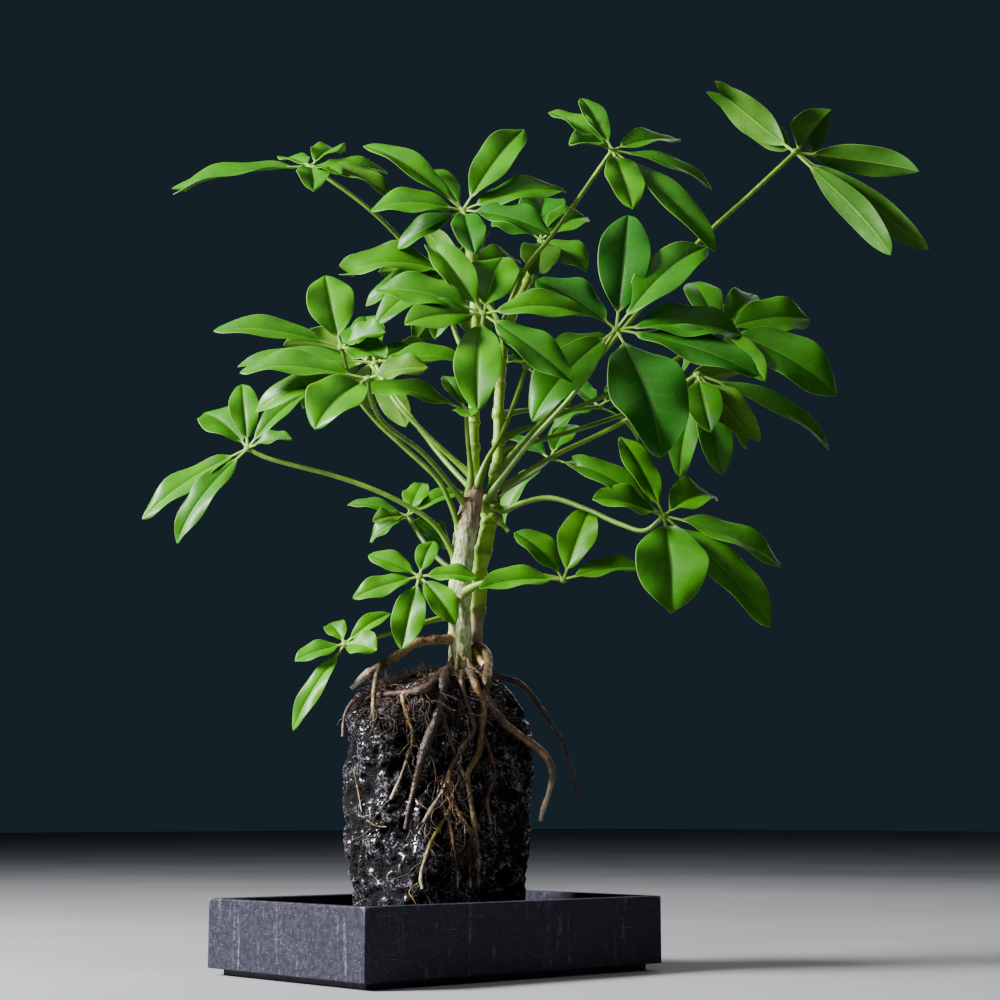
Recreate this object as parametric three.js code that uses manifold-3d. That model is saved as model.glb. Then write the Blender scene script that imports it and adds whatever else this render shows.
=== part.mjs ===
// An umbrella plant grown over a lump of lava that stands in a shallow tray.
// Millimetres, +Z up. The origin is the centre of the tray's underside, +X runs along its long side.
// The plant is laid out in a group of its own, turned about Z, with x across, y away and z up.

import * as THREE from "three";
import { mergeVertices } from "three/addons/utils/BufferGeometryUtils.js";
import Module from "manifold-3d";

const wasm = await Module();
wasm.setup();

// ---- Driving dimensions ----

const gap = 0.3; // between pieces that touch
const plantTurn = THREE.MathUtils.degToRad(-41.5); // of the plant against the tray

const tray = {
  length: 170,
  width: 112,
  height: 33,
  wall: 4.5,
  floor: 5,
  footHeight: 3,
  footInset: 5,
  cornerRadius: 1.5,
  edgeBevel: 0.6,
  footSink: 1, // how far the foot goes up into the body
  hollowExtra: 5, // how far the tool that hollows the body stands out of it
};
const trayFloorTop = tray.footHeight + tray.floor;

const rock = {
  halfLength: 38.5,
  halfWidth: 29,
  squareness: 5, // exponent of the outline, 2 is an ellipse
  top: 130,
  shoulder: 12, // height over which the top edge rounds off
  shoulderTaper: 0.4,
  waste: 1.6, // how far the waves sit inside the outline
  footUndercut: 2.5,
  footFade: 14,
  lowSide: { angle: 171, half: 43, drop: 6.5 }, // where the top edge is lower, in degrees and mm
  crestShares: [0.62, 0.28], // of the reach, rings on the top
  crest: 131.5,
  sides: 28,
  levels: 12,
};
// Waves around the rock: [height, waves in a turn, mm of height in a radian, phase].
const rockWaves = [
  [1.1, 3, 11, 0],
  [0.8, 5, -7, 1],
  [0.6, 8, 5, 2],
];
// Hollows and bulges of the rock: [degrees around it, height, how far out, half width in degrees,
// half height].
const rockLumps = [
  [202, 92, -12, 13, 34],
  [226, 92, -12, 20, 34],
  [318, 124, -6.5, 30, 16],
  [328, 84, 2.5, 24, 20],
  [322, 12, -6, 26, 20],
  [148, 108, 2.5, 26, 20],
  [148, 66, 2, 26, 12],
  [148, 34, -1.5, 26, 12],
];

const leaf = {
  thickness: 0.8,
  hubRadius: 2.7,
  rootDepth: 0.35, // where a leaflet starts inside the hub, as a share of its radius
  petioluleHalfWidth: 0.8,
  petioluleShare: 0.13, // of a leaflet's length, before its blade starts
  stations: [0, 0.3, 0.6, 0.86], // along a long blade, before its tip
  shortStations: [0, 0.38, 0.78], // along a blade shorter than shortLength
  shortLength: 56,
  broadening: 0.9, // exponents of the blade's outline, from its base and towards its tip
  narrowing: 0.6,
  leastWidthShare: 0.1, // against the widest place
  notchShare: 0.4, // of a notched tip
  leastFold: 0.1,
  foldRange: 0.18,
  leastBow: 0.05,
  bowRange: 0.06,
};

const trunk = { sides: 8, step: 9 };
const greenStem = { sides: 6, step: 16 };
const stalk = { baseRadius: 2.1, radius: 1.25, tipRadius: 1.05, sides: 4, step: 28 };
const root = { sides: 5, thinSides: 4, thinRadius: 2.05, clearOfRock: 1.1 };
const aerialRoot = { sides: 5, step: 14 };
const nearFaceSearch = { from: -60, step: 0.25 }; // of the rock, in mm
const weldDistance = 1e-5;
const scatter = { turn: 12.9898, start: 4.1, stretch: 43758.5453 }; // behind vary()

// ---- The plant's layout ----
// Points are [x, y, z]. A stem's or root's points end with the radius there.

const trunkPath = [
  [9.3, 0, 129, 5.8],
  [9.3, 0, 140, 5.1],
  [9.2, 0, 157, 5],
  [9.2, 0, 168, 5],
  [9.6, 0, 180, 5.3],
  [10.5, 0, 188.5, 5],
  [11.4, 0, 196.5, 5.3],
  [13.9, 0, 208.5, 5],
  [15.5, 0, 215, 4],
  [16, 0, 217.5, 4.3],
];

const greenStemPaths = [
  // The second stem, going on as the back shoot.
  [
    [15, 8, 129, 2.8],
    [16, 8, 144, 2.4],
    [16.4, 9, 149, 2.4],
    [17.3, 10, 161.5, 3],
    [17.8, 10, 170.5, 3.8],
    [18.2, 10, 181.5, 3.4],
    [19.8, 10, 191, 3.8],
    [21.5, 10, 199, 3.8],
    [22.6, 10, 207, 2.8],
    [22.8, 10, 214.5, 2.5],
    [24.7, 13, 223.5, 2.5],
    [26.6, 15, 236.5, 2.5],
    [27, 17, 262, 2.4],
    [31, 26, 300, 2.1],
    [41, 45, 329, 1.8],
    [47, 58, 350, 1.6],
  ],
  // The front shoot, to the top of the crown.
  [
    [22.3, 10, 204, 2.6],
    [18.5, 9, 214, 2.5],
    [15.5, 7, 226, 2.7],
    [15.1, 6, 240, 2.7],
    [15.3, 5, 256, 2.6],
    [16, 5, 290, 2.4],
    [14, 3, 331, 2.2],
    [10, 0, 347, 2],
  ],
  // A short stub below the fork.
  [
    [22.6, 9, 208, 1.4],
    [27.5, 4, 203, 1.1],
    [31.2, 2, 198.5, 1],
  ],
];

// Each leaf: its hub, the way the whorl faces, its stalk's points from the stem on, and its leaflets
// as [dx, dy, dz of the tip from the hub, width of the blade, depth of the notch in its tip].
const leaves = {
  far_right: {
    hub: [169, 10, 383],
    facing: [0.1, 0.85, 0.5],
    stalk: [[27, 16, 230], [56, 12, 262], [94, 12, 306], [122, 12, 339], [148, 10, 363]],
    leaflets: [
      [-39, 10, 37, 16, 0.12], [-24, 22, 23, 13, 0.12], [22, 24, 30, 20, 0],
      [58, -5, -11, 15, 0], [60, -10, -51, 14, 0], [40, -22, -57, 14, 0],
    ],
  },
  top_right: {
    hub: [81, 4, 382],
    facing: [0, -0.65, 0.75],
    stalk: [[16, 6, 266], [23, 12, 285], [40, 14, 327], [52, 12, 342]],
    leaflets: [
      [-30, 12, 23, 14, 0], [-14, 20, 33, 12, 0], [-21, -16, -3, 16, 0], [34, 22, 12, 20, 0],
      [48, 8, -17, 14, 0], [46, -18, -55, 17, 0], [8, -20, -35, 18, 0],
    ],
  },
  front_right: {
    hub: [80, -30, 286],
    facing: [0.05, -0.8, 0.6],
    stalk: [[21, 8, 214], [41, -8, 238], [61, -18, 259]],
    leaflets: [
      [7, 15, 58, 24, 0], [43, 12, 42, 22, 0], [58, 8, -1, 22, 0], [63, -8, -23, 21, 0],
      [18, -25, -63, 36, 0], [-38, -8, -44, 24, 0], [-36, 8, 25, 22, 0],
    ],
  },
  right_rear: {
    hub: [134, 35, 302],
    facing: [0.05, -0.9, 0.45],
    stalk: [[27, 16, 244], [50, 28, 256], [80, 34, 270], [112, 36, 287]],
    leaflets: [
      [46, 12, 8, 23, 0], [55, -6, -34, 27, 0], [-11, 26, 30, 18, 0],
      [19, -20, -30, 14, 0], [20, 26, 24, 17, 0],
    ],
  },
  right_droop: {
    hub: [120, 5, 273],
    facing: [-0.1, -0.8, 0.6],
    stalk: [[27, 15, 220], [51, 20, 236], [84, 18, 252], [108, 8, 266]],
    leaflets: [
      [24, -12, -36, 18, 0.12], [63, 15, -33, 13, 0], [4, -18, -31, 17, 0],
      [12, 10, -46, 16, 0], [-7, 22, -45, 15, 0],
    ],
  },
  low_right: {
    hub: [100, -35, 200],
    facing: [0.05, -0.72, 0.7],
    stalk: [
      [24.5, 9, 211.5], [29, 4, 208.5], [37, -1, 211], [50, -5, 213], [67, -15, 206], [81, -25, 198],
      [92, -32, 194],
    ],
    leaflets: [
      [-32, -10, 6, 19, 0], [-42, 8, 26, 17, 0.1], [-18, 18, 39, 14, 0], [24, 20, 12, 20, 0],
      [52, 5, -22, 16, 0], [45, -8, -50, 21, 0], [1, -20, -45, 32, 0],
    ],
  },
  low_middle: {
    hub: [56, -15, 174],
    facing: [0, -0.7, 0.7],
    stalk: [[10, -2, 169], [17.5, -8, 172.5], [32, -12, 175.5], [46, -14, 176]],
    leaflets: [[-38, -8, -5, 15, 0], [-22, 4, 22, 15, 0], [13, 8, 33, 18, 0], [37, 0, 5, 13, 0]],
  },
  low_front: {
    hub: [-8, -35, 173],
    facing: [0, -0.8, 0.6],
    stalk: [[10, 0, 165], [2, -16, 167], [-5, -29, 169]],
    leaflets: [
      [-23, 5, 10, 11, 0], [-29, -4, -10, 12, 0], [-7, -10, -33, 15, 0],
      [16, -8, -22, 13, 0], [26, 0, -1, 10, 0], [6, 10, 17, 10, 0],
    ],
  },
  lowest_left: {
    hub: [-42, -15, 145],
    facing: [-0.1, -0.8, 0.6],
    stalk: [[10, 0, 160], [-4, -9, 156], [-22, -13, 150], [-34, -14, 147]],
    leaflets: [
      [-8, 12, 10, 10, 0], [-22, -4, -8, 11, 0], [-22, -6, -39, 10, 0],
      [15, -10, -4, 15, 0], [20, 6, 14, 9, 0],
    ],
  },
  far_left: {
    hub: [-88, -10, 235],
    facing: [0, -0.7, 0.7],
    stalk: [
      [10, 0, 180], [-2, -5, 200], [-15, -7, 209], [-32, -8, 217], [-50, -9, 223], [-80, -10, 231],
    ],
    leaflets: [
      [-46, -8, -34, 15, 0], [-29, -14, -46, 14, 0], [-23, 18, 20, 21, 0],
      [-5, 14, 33, 14, 0], [21, -6, 3, 10, 0], [25, 10, 27, 11, 0],
    ],
  },
  left_upper: {
    hub: [-45, -20, 280],
    facing: [-0.05, -0.75, 0.65],
    stalk: [
      [11, 0, 193], [4, -6, 212], [-1, -8, 221], [-17, -11, 236], [-30, -14, 248], [-39, -18, 260],
    ],
    leaflets: [[-58, -3, 7, 15, 0], [-9, 12, 37, 22, 0], [21, -12, 4, 17, 0], [22, -16, -9, 17, 0]],
  },
  left_front: {
    hub: [-31, -45, 260],
    facing: [-0.05, -0.8, 0.6],
    stalk: [[14, 0, 208], [-7, -18, 231], [-25, -33, 243], [-30, -42, 252]],
    leaflets: [[-57, 2, 3, 16, 0], [-51, 12, -13, 16, 0], [-21, -22, -27, 26, 0], [27, -8, 3, 14, 0]],
  },
  middle_small: {
    hub: [12, -14, 252],
    facing: [0, -0.7, 0.7],
    stalk: [[13.5, -1, 214.5], [14.1, -3, 225], [13.2, -7, 235], [12.3, -11, 245]],
    leaflets: [[-47, -4, 8, 14, 0], [3, -16, -6, 14, 0], [-11, 10, 18, 9, 0]],
  },
  crown_front: {
    hub: [20, -50, 288],
    facing: [0, -0.85, 0.53],
    stalk: [[15.5, 5, 258], [17, -12, 266], [19, -36, 279]],
    leaflets: [
      [-34, -14, -8, 20, 0], [-48, 4, 12, 18, 0], [-24, 14, 36, 17, 0.12], [9, 22, 32, 23, 0],
      [-2, -18, -47, 21, 0], [45, 4, 1, 16, 0], [39, -10, -33, 18, 0],
    ],
  },
  crown_left: {
    hub: [7, 15, 325],
    facing: [-0.1, -0.8, 0.6],
    stalk: [[16, 5, 296], [11, 11, 308]],
    leaflets: [
      [-56, -2, -2, 22, 0.12], [-44, 10, -14, 15, 0], [-38, -12, -29, 17, 0],
      [-10, -14, -36, 15, 0], [30, 20, 11, 20, 0],
    ],
  },
  crown_top: {
    hub: [10, 0, 351],
    facing: [0.05, -0.8, 0.6],
    stalk: [],
    leaflets: [
      [-48, 10, 35, 15, 0], [-16, 22, 27, 12, 0], [29, 12, 44, 19, 0], [49, 6, 11, 18, 0],
      [41, -10, -15, 17, 0], [6, -24, -28, 16, 0], [-43, -6, -2, 20, 0], [-31, 10, -16, 16, 0],
    ],
  },
  top_left: {
    hub: [-63, 10, 376],
    facing: [0, -0.6, 0.8],
    stalk: [[16, 5, 275], [8, 20, 292], [-1, 29, 317], [-21, 23, 344], [-37, 15, 358]],
    leaflets: [
      [-65, -6, -15, 17, 0.1], [3, -18, -18, 16, 0], [16, -14, -9, 11, 0],
      [12, 28, 16, 15, 0], [39, -4, -17, 15, 0], [36, 14, 1, 14, 0], [-16, 26, 12, 14, 0],
    ],
  },
  crown_rear: {
    hub: [48, 60, 354],
    facing: [0, -0.8, 0.6],
    stalk: [],
    leaflets: [
      [2, 24, 30, 24, 0], [22, -14, -20, 18, 0], [-2, -22, -25, 20, 0.12],
      [-24, 12, 14, 21, 0], [24, 14, 16, 19, 0],
    ],
  },
  low_rear: {
    hub: [-17, 40, 211],
    facing: [-0.1, -0.7, 0.7],
    stalk: [[19, 10, 176], [2, 20, 185], [-9, 31, 198]],
    leaflets: [
      [-29, 3, 6, 9, 0], [-16, -10, -4, 11, 0], [-18, 5, -12, 11, 0],
      [7, 12, 18, 13, 0], [20, 5, -16, 15, 0], [27, 8, 13, 10, 0],
    ],
  },
  rear_small: {
    hub: [77, 70, 271],
    facing: [0, -0.5, 0.85],
    stalk: [[27, 17, 256], [42, 34, 262], [62, 54, 266]],
    leaflets: [
      [-24, 8, -13, 16, 0], [20, 10, -16, 15, 0], [26, 20, 14, 16, 0], [-16, 24, 16, 15, 0],
    ],
  },
  rear_low: {
    hub: [53, 90, 248],
    facing: [0, -0.4, 0.9],
    stalk: [[25, 13, 216], [32, 32, 224], [44, 62, 236]],
    leaflets: [[-23, 4, -33, 18, 0], [36, 10, -14, 16, 0], [-22, 20, 14, 15, 0], [14, 25, 22, 15, 0]],
  },
  middle_rear: {
    hub: [40, 15, 279],
    facing: [0, -0.7, 0.7],
    stalk: [[16.5, 5, 218.5], [21, 3.5, 231], [28, 6, 244], [35, 10, 263]],
    leaflets: [[-9, -14, -1, 9, 0], [-8, 8, 20, 15, 0], [41, 8, 15, 16, 0], [20, -10, -22, 15, 0]],
  },
  left_rear: {
    hub: [-32, 20, 282],
    facing: [-0.05, -0.7, 0.7],
    stalk: [[18, 8, 222], [-8, 8, 246], [-22, 12, 262]],
    leaflets: [[-66, 4, -1, 16, 0], [18, 14, 10, 14, 0], [-6, 22, 28, 16, 0], [43, 0, 0, 15, 0]],
  },
  back_left: {
    hub: [-40, 85, 298],
    facing: [-0.3, 0.5, 0.8],
    stalk: [[19, 10, 214], [0, 32, 238], [-24, 62, 274]],
    leaflets: [
      [-44, 8, 10, 20, 0], [-36, 34, -18, 22, 0], [0, 46, -16, 21, 0],
      [34, 34, 8, 19, 0], [-8, 24, 26, 17, 0], [20, 2, -34, 15, 0],
    ],
  },
  back_top: {
    hub: [8, 92, 338],
    facing: [0, 0.5, 0.85],
    stalk: [[30, 24, 294], [24, 48, 314], [14, 78, 331]],
    leaflets: [
      [-44, 12, 12, 20, 0], [-26, 36, -20, 21, 0], [12, 44, -18, 22, 0],
      [44, 22, 4, 20, 0], [14, 14, 34, 18, 0], [-20, 6, 34, 16, 0],
    ],
  },
  back_right: {
    hub: [118, 92, 284],
    facing: [0.3, 0.5, 0.8],
    stalk: [[27, 15, 238], [66, 30, 252], [104, 66, 272]],
    leaflets: [
      [40, 10, 12, 19, 0], [30, 32, -20, 20, 0], [-6, 40, -22, 20, 0],
      [-36, 20, 4, 18, 0], [4, 20, 34, 17, 0],
    ],
  },
};

// Roots that leave the crown at the foot of the stems.
const rootCrown = { centre: [10, 2, 132], radii: [11, 10.5, 4.5] };
// Points of three numbers are [x, z, radius], laid on the rock's face that looks towards -y.
const rootPaths = [
  // The long one on the left.
  [
    [7, -3, 134, 2.4], [3.5, -14, 132.5, 2.4], [2.8, -21, 130, 2.4], [2, 123, 2.4],
    [0.3, 112.5, 2.4], [-3.5, 103, 2.2], [-7, 92.5, 2], [-9.7, 82, 1.6], [-12.2, 72, 1.3],
    [-13.7, 63, 0.9],
  ],
  // Along the near edge of the top, to the left, and over its corner.
  [
    [4, -2, 134, 2.6], [1.5, -13, 132, 2.4], [0.5, -21, 129.5, 2.2], [-4.2, 124.5, 1.9],
    [-7.6, 123, 1.8], [-14.6, 122.3, 1.5], [-20.9, 122, 1.3], [-26.8, 122, 1.1], [-32.2, 121, 1],
    [-38, -14.5, 119.5, 0.9], [-42.2, -10, 113, 0.8], [-43, -9, 104, 0.8],
  ],
  // The thin one that hangs from it.
  [
    [-15.5, 121.5, 1.1], [-14.6, 117.5, 1], [-13, 112, 1], [-10.8, 104.5, 0.9], [-11.6, 98, 0.8],
    [-14.2, 91, 0.8], [-17.2, 83, 0.8], [-20.3, 76, 0.8],
  ],
  // The long one in the middle, from a loop in the air at the trunk's foot,
  // and a short strand inside the loop.
  [
    [13.5, 4, 143.5, 1.9], [17.9, 3, 145, 2], [21.1, 0, 142, 2], [22.3, -6, 137, 2],
    [21.8, -14, 131.5, 2], [21.2, -19, 127.5, 2], [20.8, 124, 2], [20, 113, 1.9], [19, 104.5, 1.8],
    [18.2, 97, 1.8], [13.4, 87.5, 1.5], [13.9, 80, 1.2], [15.3, 72, 1.1], [16.6, 62.5, 1.3],
    [17, 56, 1.6], [17.8, 49.5, 1.5], [17.6, 44, 1], [18.3, 38.5, 0.8],
  ],
  [
    [15.5, 2, 143.5, 1.3], [17.8, -1, 140, 1.4], [20.5, -6, 136, 1.4],
  ],
  // The one that crosses behind it and parts twice.
  [
    [10.5, -4, 134, 1.6], [10.4, -14, 131.5, 1.6], [10.2, -20, 129.5, 1.5], [12, 121, 1.3],
    [14.2, 114.5, 1.2], [16, 107, 1.2], [11.7, 99.5, 1.2], [6.6, 91, 1.2], [5.3, 87.5, 1.2],
    [3.2, 81, 1.1], [-0.9, 74, 1.1], [-4, 69, 1], [-5.7, 66, 0.9],
  ],
  [
    [5.3, 87.5, 1.2], [5.3, 81, 1], [7, 75.5, 1], [10.1, 69, 1], [13.5, 63.5, 0.9],
    [16.1, 57.5, 0.9],
  ],
  [
    [5.4, 84, 1], [6.6, 75, 0.9], [2.3, 66, 0.8], [-1.4, 59.5, 0.8], [-3.9, 53, 0.8],
    [-6.5, 43, 0.8], [-5.8, 38, 0.8],
  ],
  [
    [6.8, 76, 0.9], [5.3, 68.5, 0.8], [6.6, 60.5, 0.8], [7.5, 54, 0.8], [8.8, 44.5, 0.8],
    [9.1, 38, 0.8],
  ],
  [
    [15.8, 62, 0.9], [14.4, 56, 0.8], [14.3, 45.5, 0.8], [14.6, 38, 0.8],
  ],
  // Short ones.
  [
    [18.5, -22, 123, 1.4], [23, 119.5, 1.3], [26.2, 114.5, 1.3], [29.1, 108.5, 1.1],
  ],
  [
    [19.3, 107, 1], [23, 97, 0.8], [24.8, 91, 0.8], [25.3, 87, 0.8], [23.5, 81.5, 0.8],
    [21.8, 76, 0.8], [22.4, 70.5, 0.9], [23.5, 65.5, 0.8],
  ],
  [
    [1.5, 115, 1], [6.5, 99.5, 0.8], [10.8, 88, 0.8], [13.2, 83.5, 0.8],
  ],
  // The arching one on the right, and a thin one behind it.
  [
    [12, -3, 134, 1.8], [14, -13, 132.5, 1.8], [15.5, -20, 129, 1.8], [18.2, 123, 1.9],
    [22.7, 117.5, 1.8], [26.6, 112.3, 1.8], [30.6, -15, 108.7, 1.8], [35, -14.5, 105.3, 1.7],
    [39, -14, 102.4, 1.7], [43, -14, 99.5, 1.6], [46.6, -14, 96.6, 1.6], [49, -14, 93, 1.5],
    [50.7, -14, 87, 1.4], [49.1, -13.5, 79, 1.3], [46.7, -13, 72, 1.2], [45.3, -13, 66.5, 0.9],
  ],
  [
    [16, 6, 133, 1.8], [36, 8, 129, 1.4], [50, 10, 112, 1], [58, 12, 98, 0.9], [63, 12, 78, 0.8],
  ],
  // Two at the back.
  [
    [10, 10, 132, 2.2], [4, 23, 133, 2], [-5, 41, 124, 1.8], [-8, 48, 99, 1.5],
    [-4, 49, 70, 1.1], [-7, 48, 44, 0.8],
  ],
  [
    [16, 10, 132, 2], [24, 22, 132, 1.8], [33, 32, 116, 1.5], [36, 36, 92, 1.2], [33, 38, 66, 0.8],
  ],
];
const aerialRootPaths = [
  [
    [8, 0, 148.5, 2.2], [-2, -7, 147.5, 2.1], [-10.4, -10, 146, 2.1], [-16.6, -12, 141.5, 2],
    [-25.4, -14, 135.5, 2], [-33.4, -15, 130.5, 1.8], [-38.8, -16, 125, 1.5],
  ],
  [
    [-24, -14, 137.5, 1.4], [-26.8, -18, 132.5, 1.3], [-28, -23, 125.5, 1.2],
    [-28.3, -26.5, 117.5, 1.1], [-27.8, -26.5, 110, 0.9],
  ],
];

// ---- Solids ----

function solidOf(geometry) {
  const bare = geometry.clone();
  bare.deleteAttribute("normal");
  bare.deleteAttribute("uv");
  const merged = mergeVertices(bare, weldDistance);
  const mesh = new wasm.Mesh({
    numProp: 3,
    vertProperties: new Float32Array(merged.attributes.position.array),
    triVerts: new Uint32Array(merged.index.array),
  });
  return new wasm.Manifold(mesh);
}

function geometryOf(solid) {
  const mesh = solid.getMesh();
  const geometry = new THREE.BufferGeometry();
  geometry.setAttribute("position", new THREE.BufferAttribute(mesh.vertProperties, 3));
  geometry.setIndex(new THREE.BufferAttribute(mesh.triVerts, 1));
  return geometry;
}

function union(solids) {
  return solids.reduce((whole, piece) => whole.add(piece));
}

// A cut can leave scraps behind: only the largest body is the piece.
function largestBody(solid) {
  return solid.decompose().reduce((best, body) => (body.volume() > best.volume() ? body : best));
}

// A value from 0 to 1 that looks random and is the same in every run.
function vary(index) {
  const value = Math.sin(index * scatter.turn + scatter.start) * scatter.stretch;
  return value - Math.floor(value);
}

// Closes rings of points into one body: quads between the rings, and a fan at each end.
function loft(rings) {
  const sides = rings[0].length;
  const last = rings.length - 1;
  const points = rings.flat();
  const faces = [];
  for (let level = 0; level < last; level += 1) {
    for (let side = 0; side < sides; side += 1) {
      const next = (side + 1) % sides;
      const low = level * sides;
      const high = low + sides;
      faces.push([low + side, low + next, high + next], [low + side, high + next, high + side]);
    }
  }
  const middle = (ring) => ring.reduce((sum, p) => sum.add(p), new THREE.Vector3()).divideScalar(sides);
  const start = points.push(middle(rings[0])) - 1;
  const end = points.push(middle(rings[last])) - 1;
  for (let side = 0; side < sides; side += 1) {
    const next = (side + 1) % sides;
    faces.push([start, next, side], [end, last * sides + side, last * sides + next]);
  }
  return meshOf(points, faces);
}

function meshOf(points, faces) {
  const geometry = new THREE.BufferGeometry();
  geometry.setFromPoints(points);
  geometry.setIndex(faces.flat());
  return geometry;
}

// A round stem or root through the points, each of which ends with its radius. Its rings stand a step
// apart along it, or one at each point if there is no step.
function stem(path, { sides, step, grow = 0 }) {
  const points = path.map(([x, y, z]) => new THREE.Vector3(x, y, z));
  const curve = new THREE.CatmullRomCurve3(points, false, "centripetal");
  const last = path.length - 1;
  const spans = step ? Math.max(2, Math.round(curve.getLength() / step)) : last;
  const steep = Math.abs(curve.getTangent(0).z) > Math.SQRT1_2;
  const normal = steep ? new THREE.Vector3(1, 0, 0) : new THREE.Vector3(0, 0, 1);
  const rings = [];
  for (let station = 0; station <= spans; station += 1) {
    const share = step ? curve.getUtoTmapping(station / spans) : station / spans;
    const before = Math.min(Math.floor(share * last), last - 1);
    const [near, far] = [path[before][3], path[before + 1][3]];
    const radius = grow + THREE.MathUtils.lerp(near, far, share * last - before);
    const centre = curve.getPoint(share);
    const tangent = curve.getTangent(share);
    normal.addScaledVector(tangent, -normal.dot(tangent)).normalize();
    const binormal = new THREE.Vector3().crossVectors(tangent, normal);
    rings.push(
      Array.from({ length: sides }, (_, side) => {
        const angle = (side / sides) * 2 * Math.PI;
        return centre
          .clone()
          .addScaledVector(normal, radius * Math.cos(angle))
          .addScaledVector(binormal, radius * Math.sin(angle));
      }),
    );
  }
  return solidOf(loft(rings));
}

// ---- Tray ----

function roundedRectangle(length, width, radius) {
  const x = length / 2 - radius;
  const y = width / 2 - radius;
  const outline = new THREE.Shape();
  outline.absarc(x, y, radius, 0, Math.PI / 2);
  outline.absarc(-x, y, radius, Math.PI / 2, Math.PI);
  outline.absarc(-x, -y, radius, Math.PI, 1.5 * Math.PI);
  outline.absarc(x, -y, radius, 1.5 * Math.PI, 2 * Math.PI);
  return outline;
}

function slab(length, width, radius, bottom, top, bevel = 0) {
  const outline = roundedRectangle(length - 2 * bevel, width - 2 * bevel, radius);
  const geometry = new THREE.ExtrudeGeometry(outline, {
    depth: top - bottom - 2 * bevel,
    curveSegments: 2,
    bevelEnabled: bevel > 0,
    bevelThickness: bevel,
    bevelSize: bevel,
    bevelSegments: 1,
  });
  return solidOf(geometry.translate(0, 0, bottom + bevel));
}

function traySolid() {
  const { length, width, height, wall, footHeight, footInset, cornerRadius, edgeBevel } = tray;
  const footTop = footHeight + tray.footSink;
  const hollowTop = height + tray.hollowExtra;
  const body = slab(length, width, cornerRadius, footHeight, height, edgeBevel);
  const foot = slab(length - 2 * footInset, width - 2 * footInset, cornerRadius, 0, footTop);
  const hollow = slab(length - 2 * wall, width - 2 * wall, cornerRadius, trayFloorTop, hollowTop);
  return body.add(foot).subtract(hollow);
}

// ---- Rock ----

function bell(distance, half) {
  return Math.exp(-((distance / half) ** 2));
}

// From -180 to 180, how far an angle in radians lies past one in degrees.
function degreesPast(angle, degrees) {
  const turn = THREE.MathUtils.radToDeg(angle) - degrees;
  return THREE.MathUtils.euclideanModulo(turn + 180, 360) - 180;
}

// Of the rock's edge.
function rockTop(angle) {
  const { angle: low, half, drop } = rock.lowSide;
  return rock.top - drop * bell(degreesPast(angle, low), half);
}

// How far the rock reaches from its axis, in the tray's directions.
function rockReach(angle, height) {
  const across = Math.abs(Math.cos(angle) / rock.halfLength) ** rock.squareness;
  const along = Math.abs(Math.sin(angle) / rock.halfWidth) ** rock.squareness;
  const outline = (across + along) ** (-1 / rock.squareness);
  const foot = rock.footUndercut * Math.exp(-(height - trayFloorTop) / rock.footFade);
  let reach = outline - rock.waste - foot;
  for (const [size, turns, rise, phase] of rockWaves) {
    reach += size * Math.sin(turns * angle + height / rise + phase);
  }
  for (const [degrees, level, push, half, tall] of rockLumps) {
    reach += push * bell(degreesPast(angle, degrees), half) * bell(height - level, tall);
  }
  const edge = THREE.MathUtils.clamp((height - rockTop(angle) + rock.shoulder) / rock.shoulder, 0, 1);
  return reach * Math.sqrt(1 - rock.shoulderTaper * edge ** 2);
}

// A closed ring of the rock's corners: place() gives the height and the share of the reach there.
function rockRing(grow, place) {
  return Array.from({ length: rock.sides }, (_, side) => {
    const angle = (side / rock.sides) * 2 * Math.PI;
    const { height, share, z } = place(angle);
    const reach = share * (rockReach(angle, height) + grow);
    return new THREE.Vector3(reach * Math.cos(angle), reach * Math.sin(angle), z);
  });
}

function rockSolid(grow) {
  const bottom = trayFloorTop + gap;
  const rings = [];
  for (let level = 0; level < rock.levels; level += 1) {
    const rise = Math.sin((level / (rock.levels - 1)) * Math.PI * 0.5);
    rings.push(
      rockRing(grow, (angle) => {
        const height = THREE.MathUtils.lerp(bottom, rockTop(angle), rise);
        return { height, share: 1, z: level === 0 ? bottom - grow : height + grow };
      }),
    );
  }
  for (const share of rock.crestShares) {
    rings.push(
      rockRing(grow, (angle) => {
        const height = rockTop(angle);
        return { height, share, z: THREE.MathUtils.lerp(rock.crest, height, share ** 2) + grow };
      }),
    );
  }
  return solidOf(loft(rings));
}

// The y, in the plant's directions, of the rock's near face at x and height.
function nearFaceOfRock(x, height) {
  for (let y = nearFaceSearch.from; y < 0; y += nearFaceSearch.step) {
    const across = x * Math.cos(plantTurn) - y * Math.sin(plantTurn);
    const along = x * Math.sin(plantTurn) + y * Math.cos(plantTurn);
    const angle = Math.atan2(along, across);
    if (Math.hypot(across, along) < rockReach(angle, Math.min(height, rockTop(angle)))) {
      return y;
    }
  }
  return 0;
}

// ---- Leaves ----

// Of the widest place, at a share of the blade's length.
function bladeWidthShare(share) {
  const shape = (s) => s ** leaf.broadening * (1 - s) ** leaf.narrowing;
  const widest = leaf.broadening / (leaf.broadening + leaf.narrowing);
  return share < 1 ? Math.max(shape(share) / shape(widest), leaf.leastWidthShare) : leaf.notchShare;
}

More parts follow.
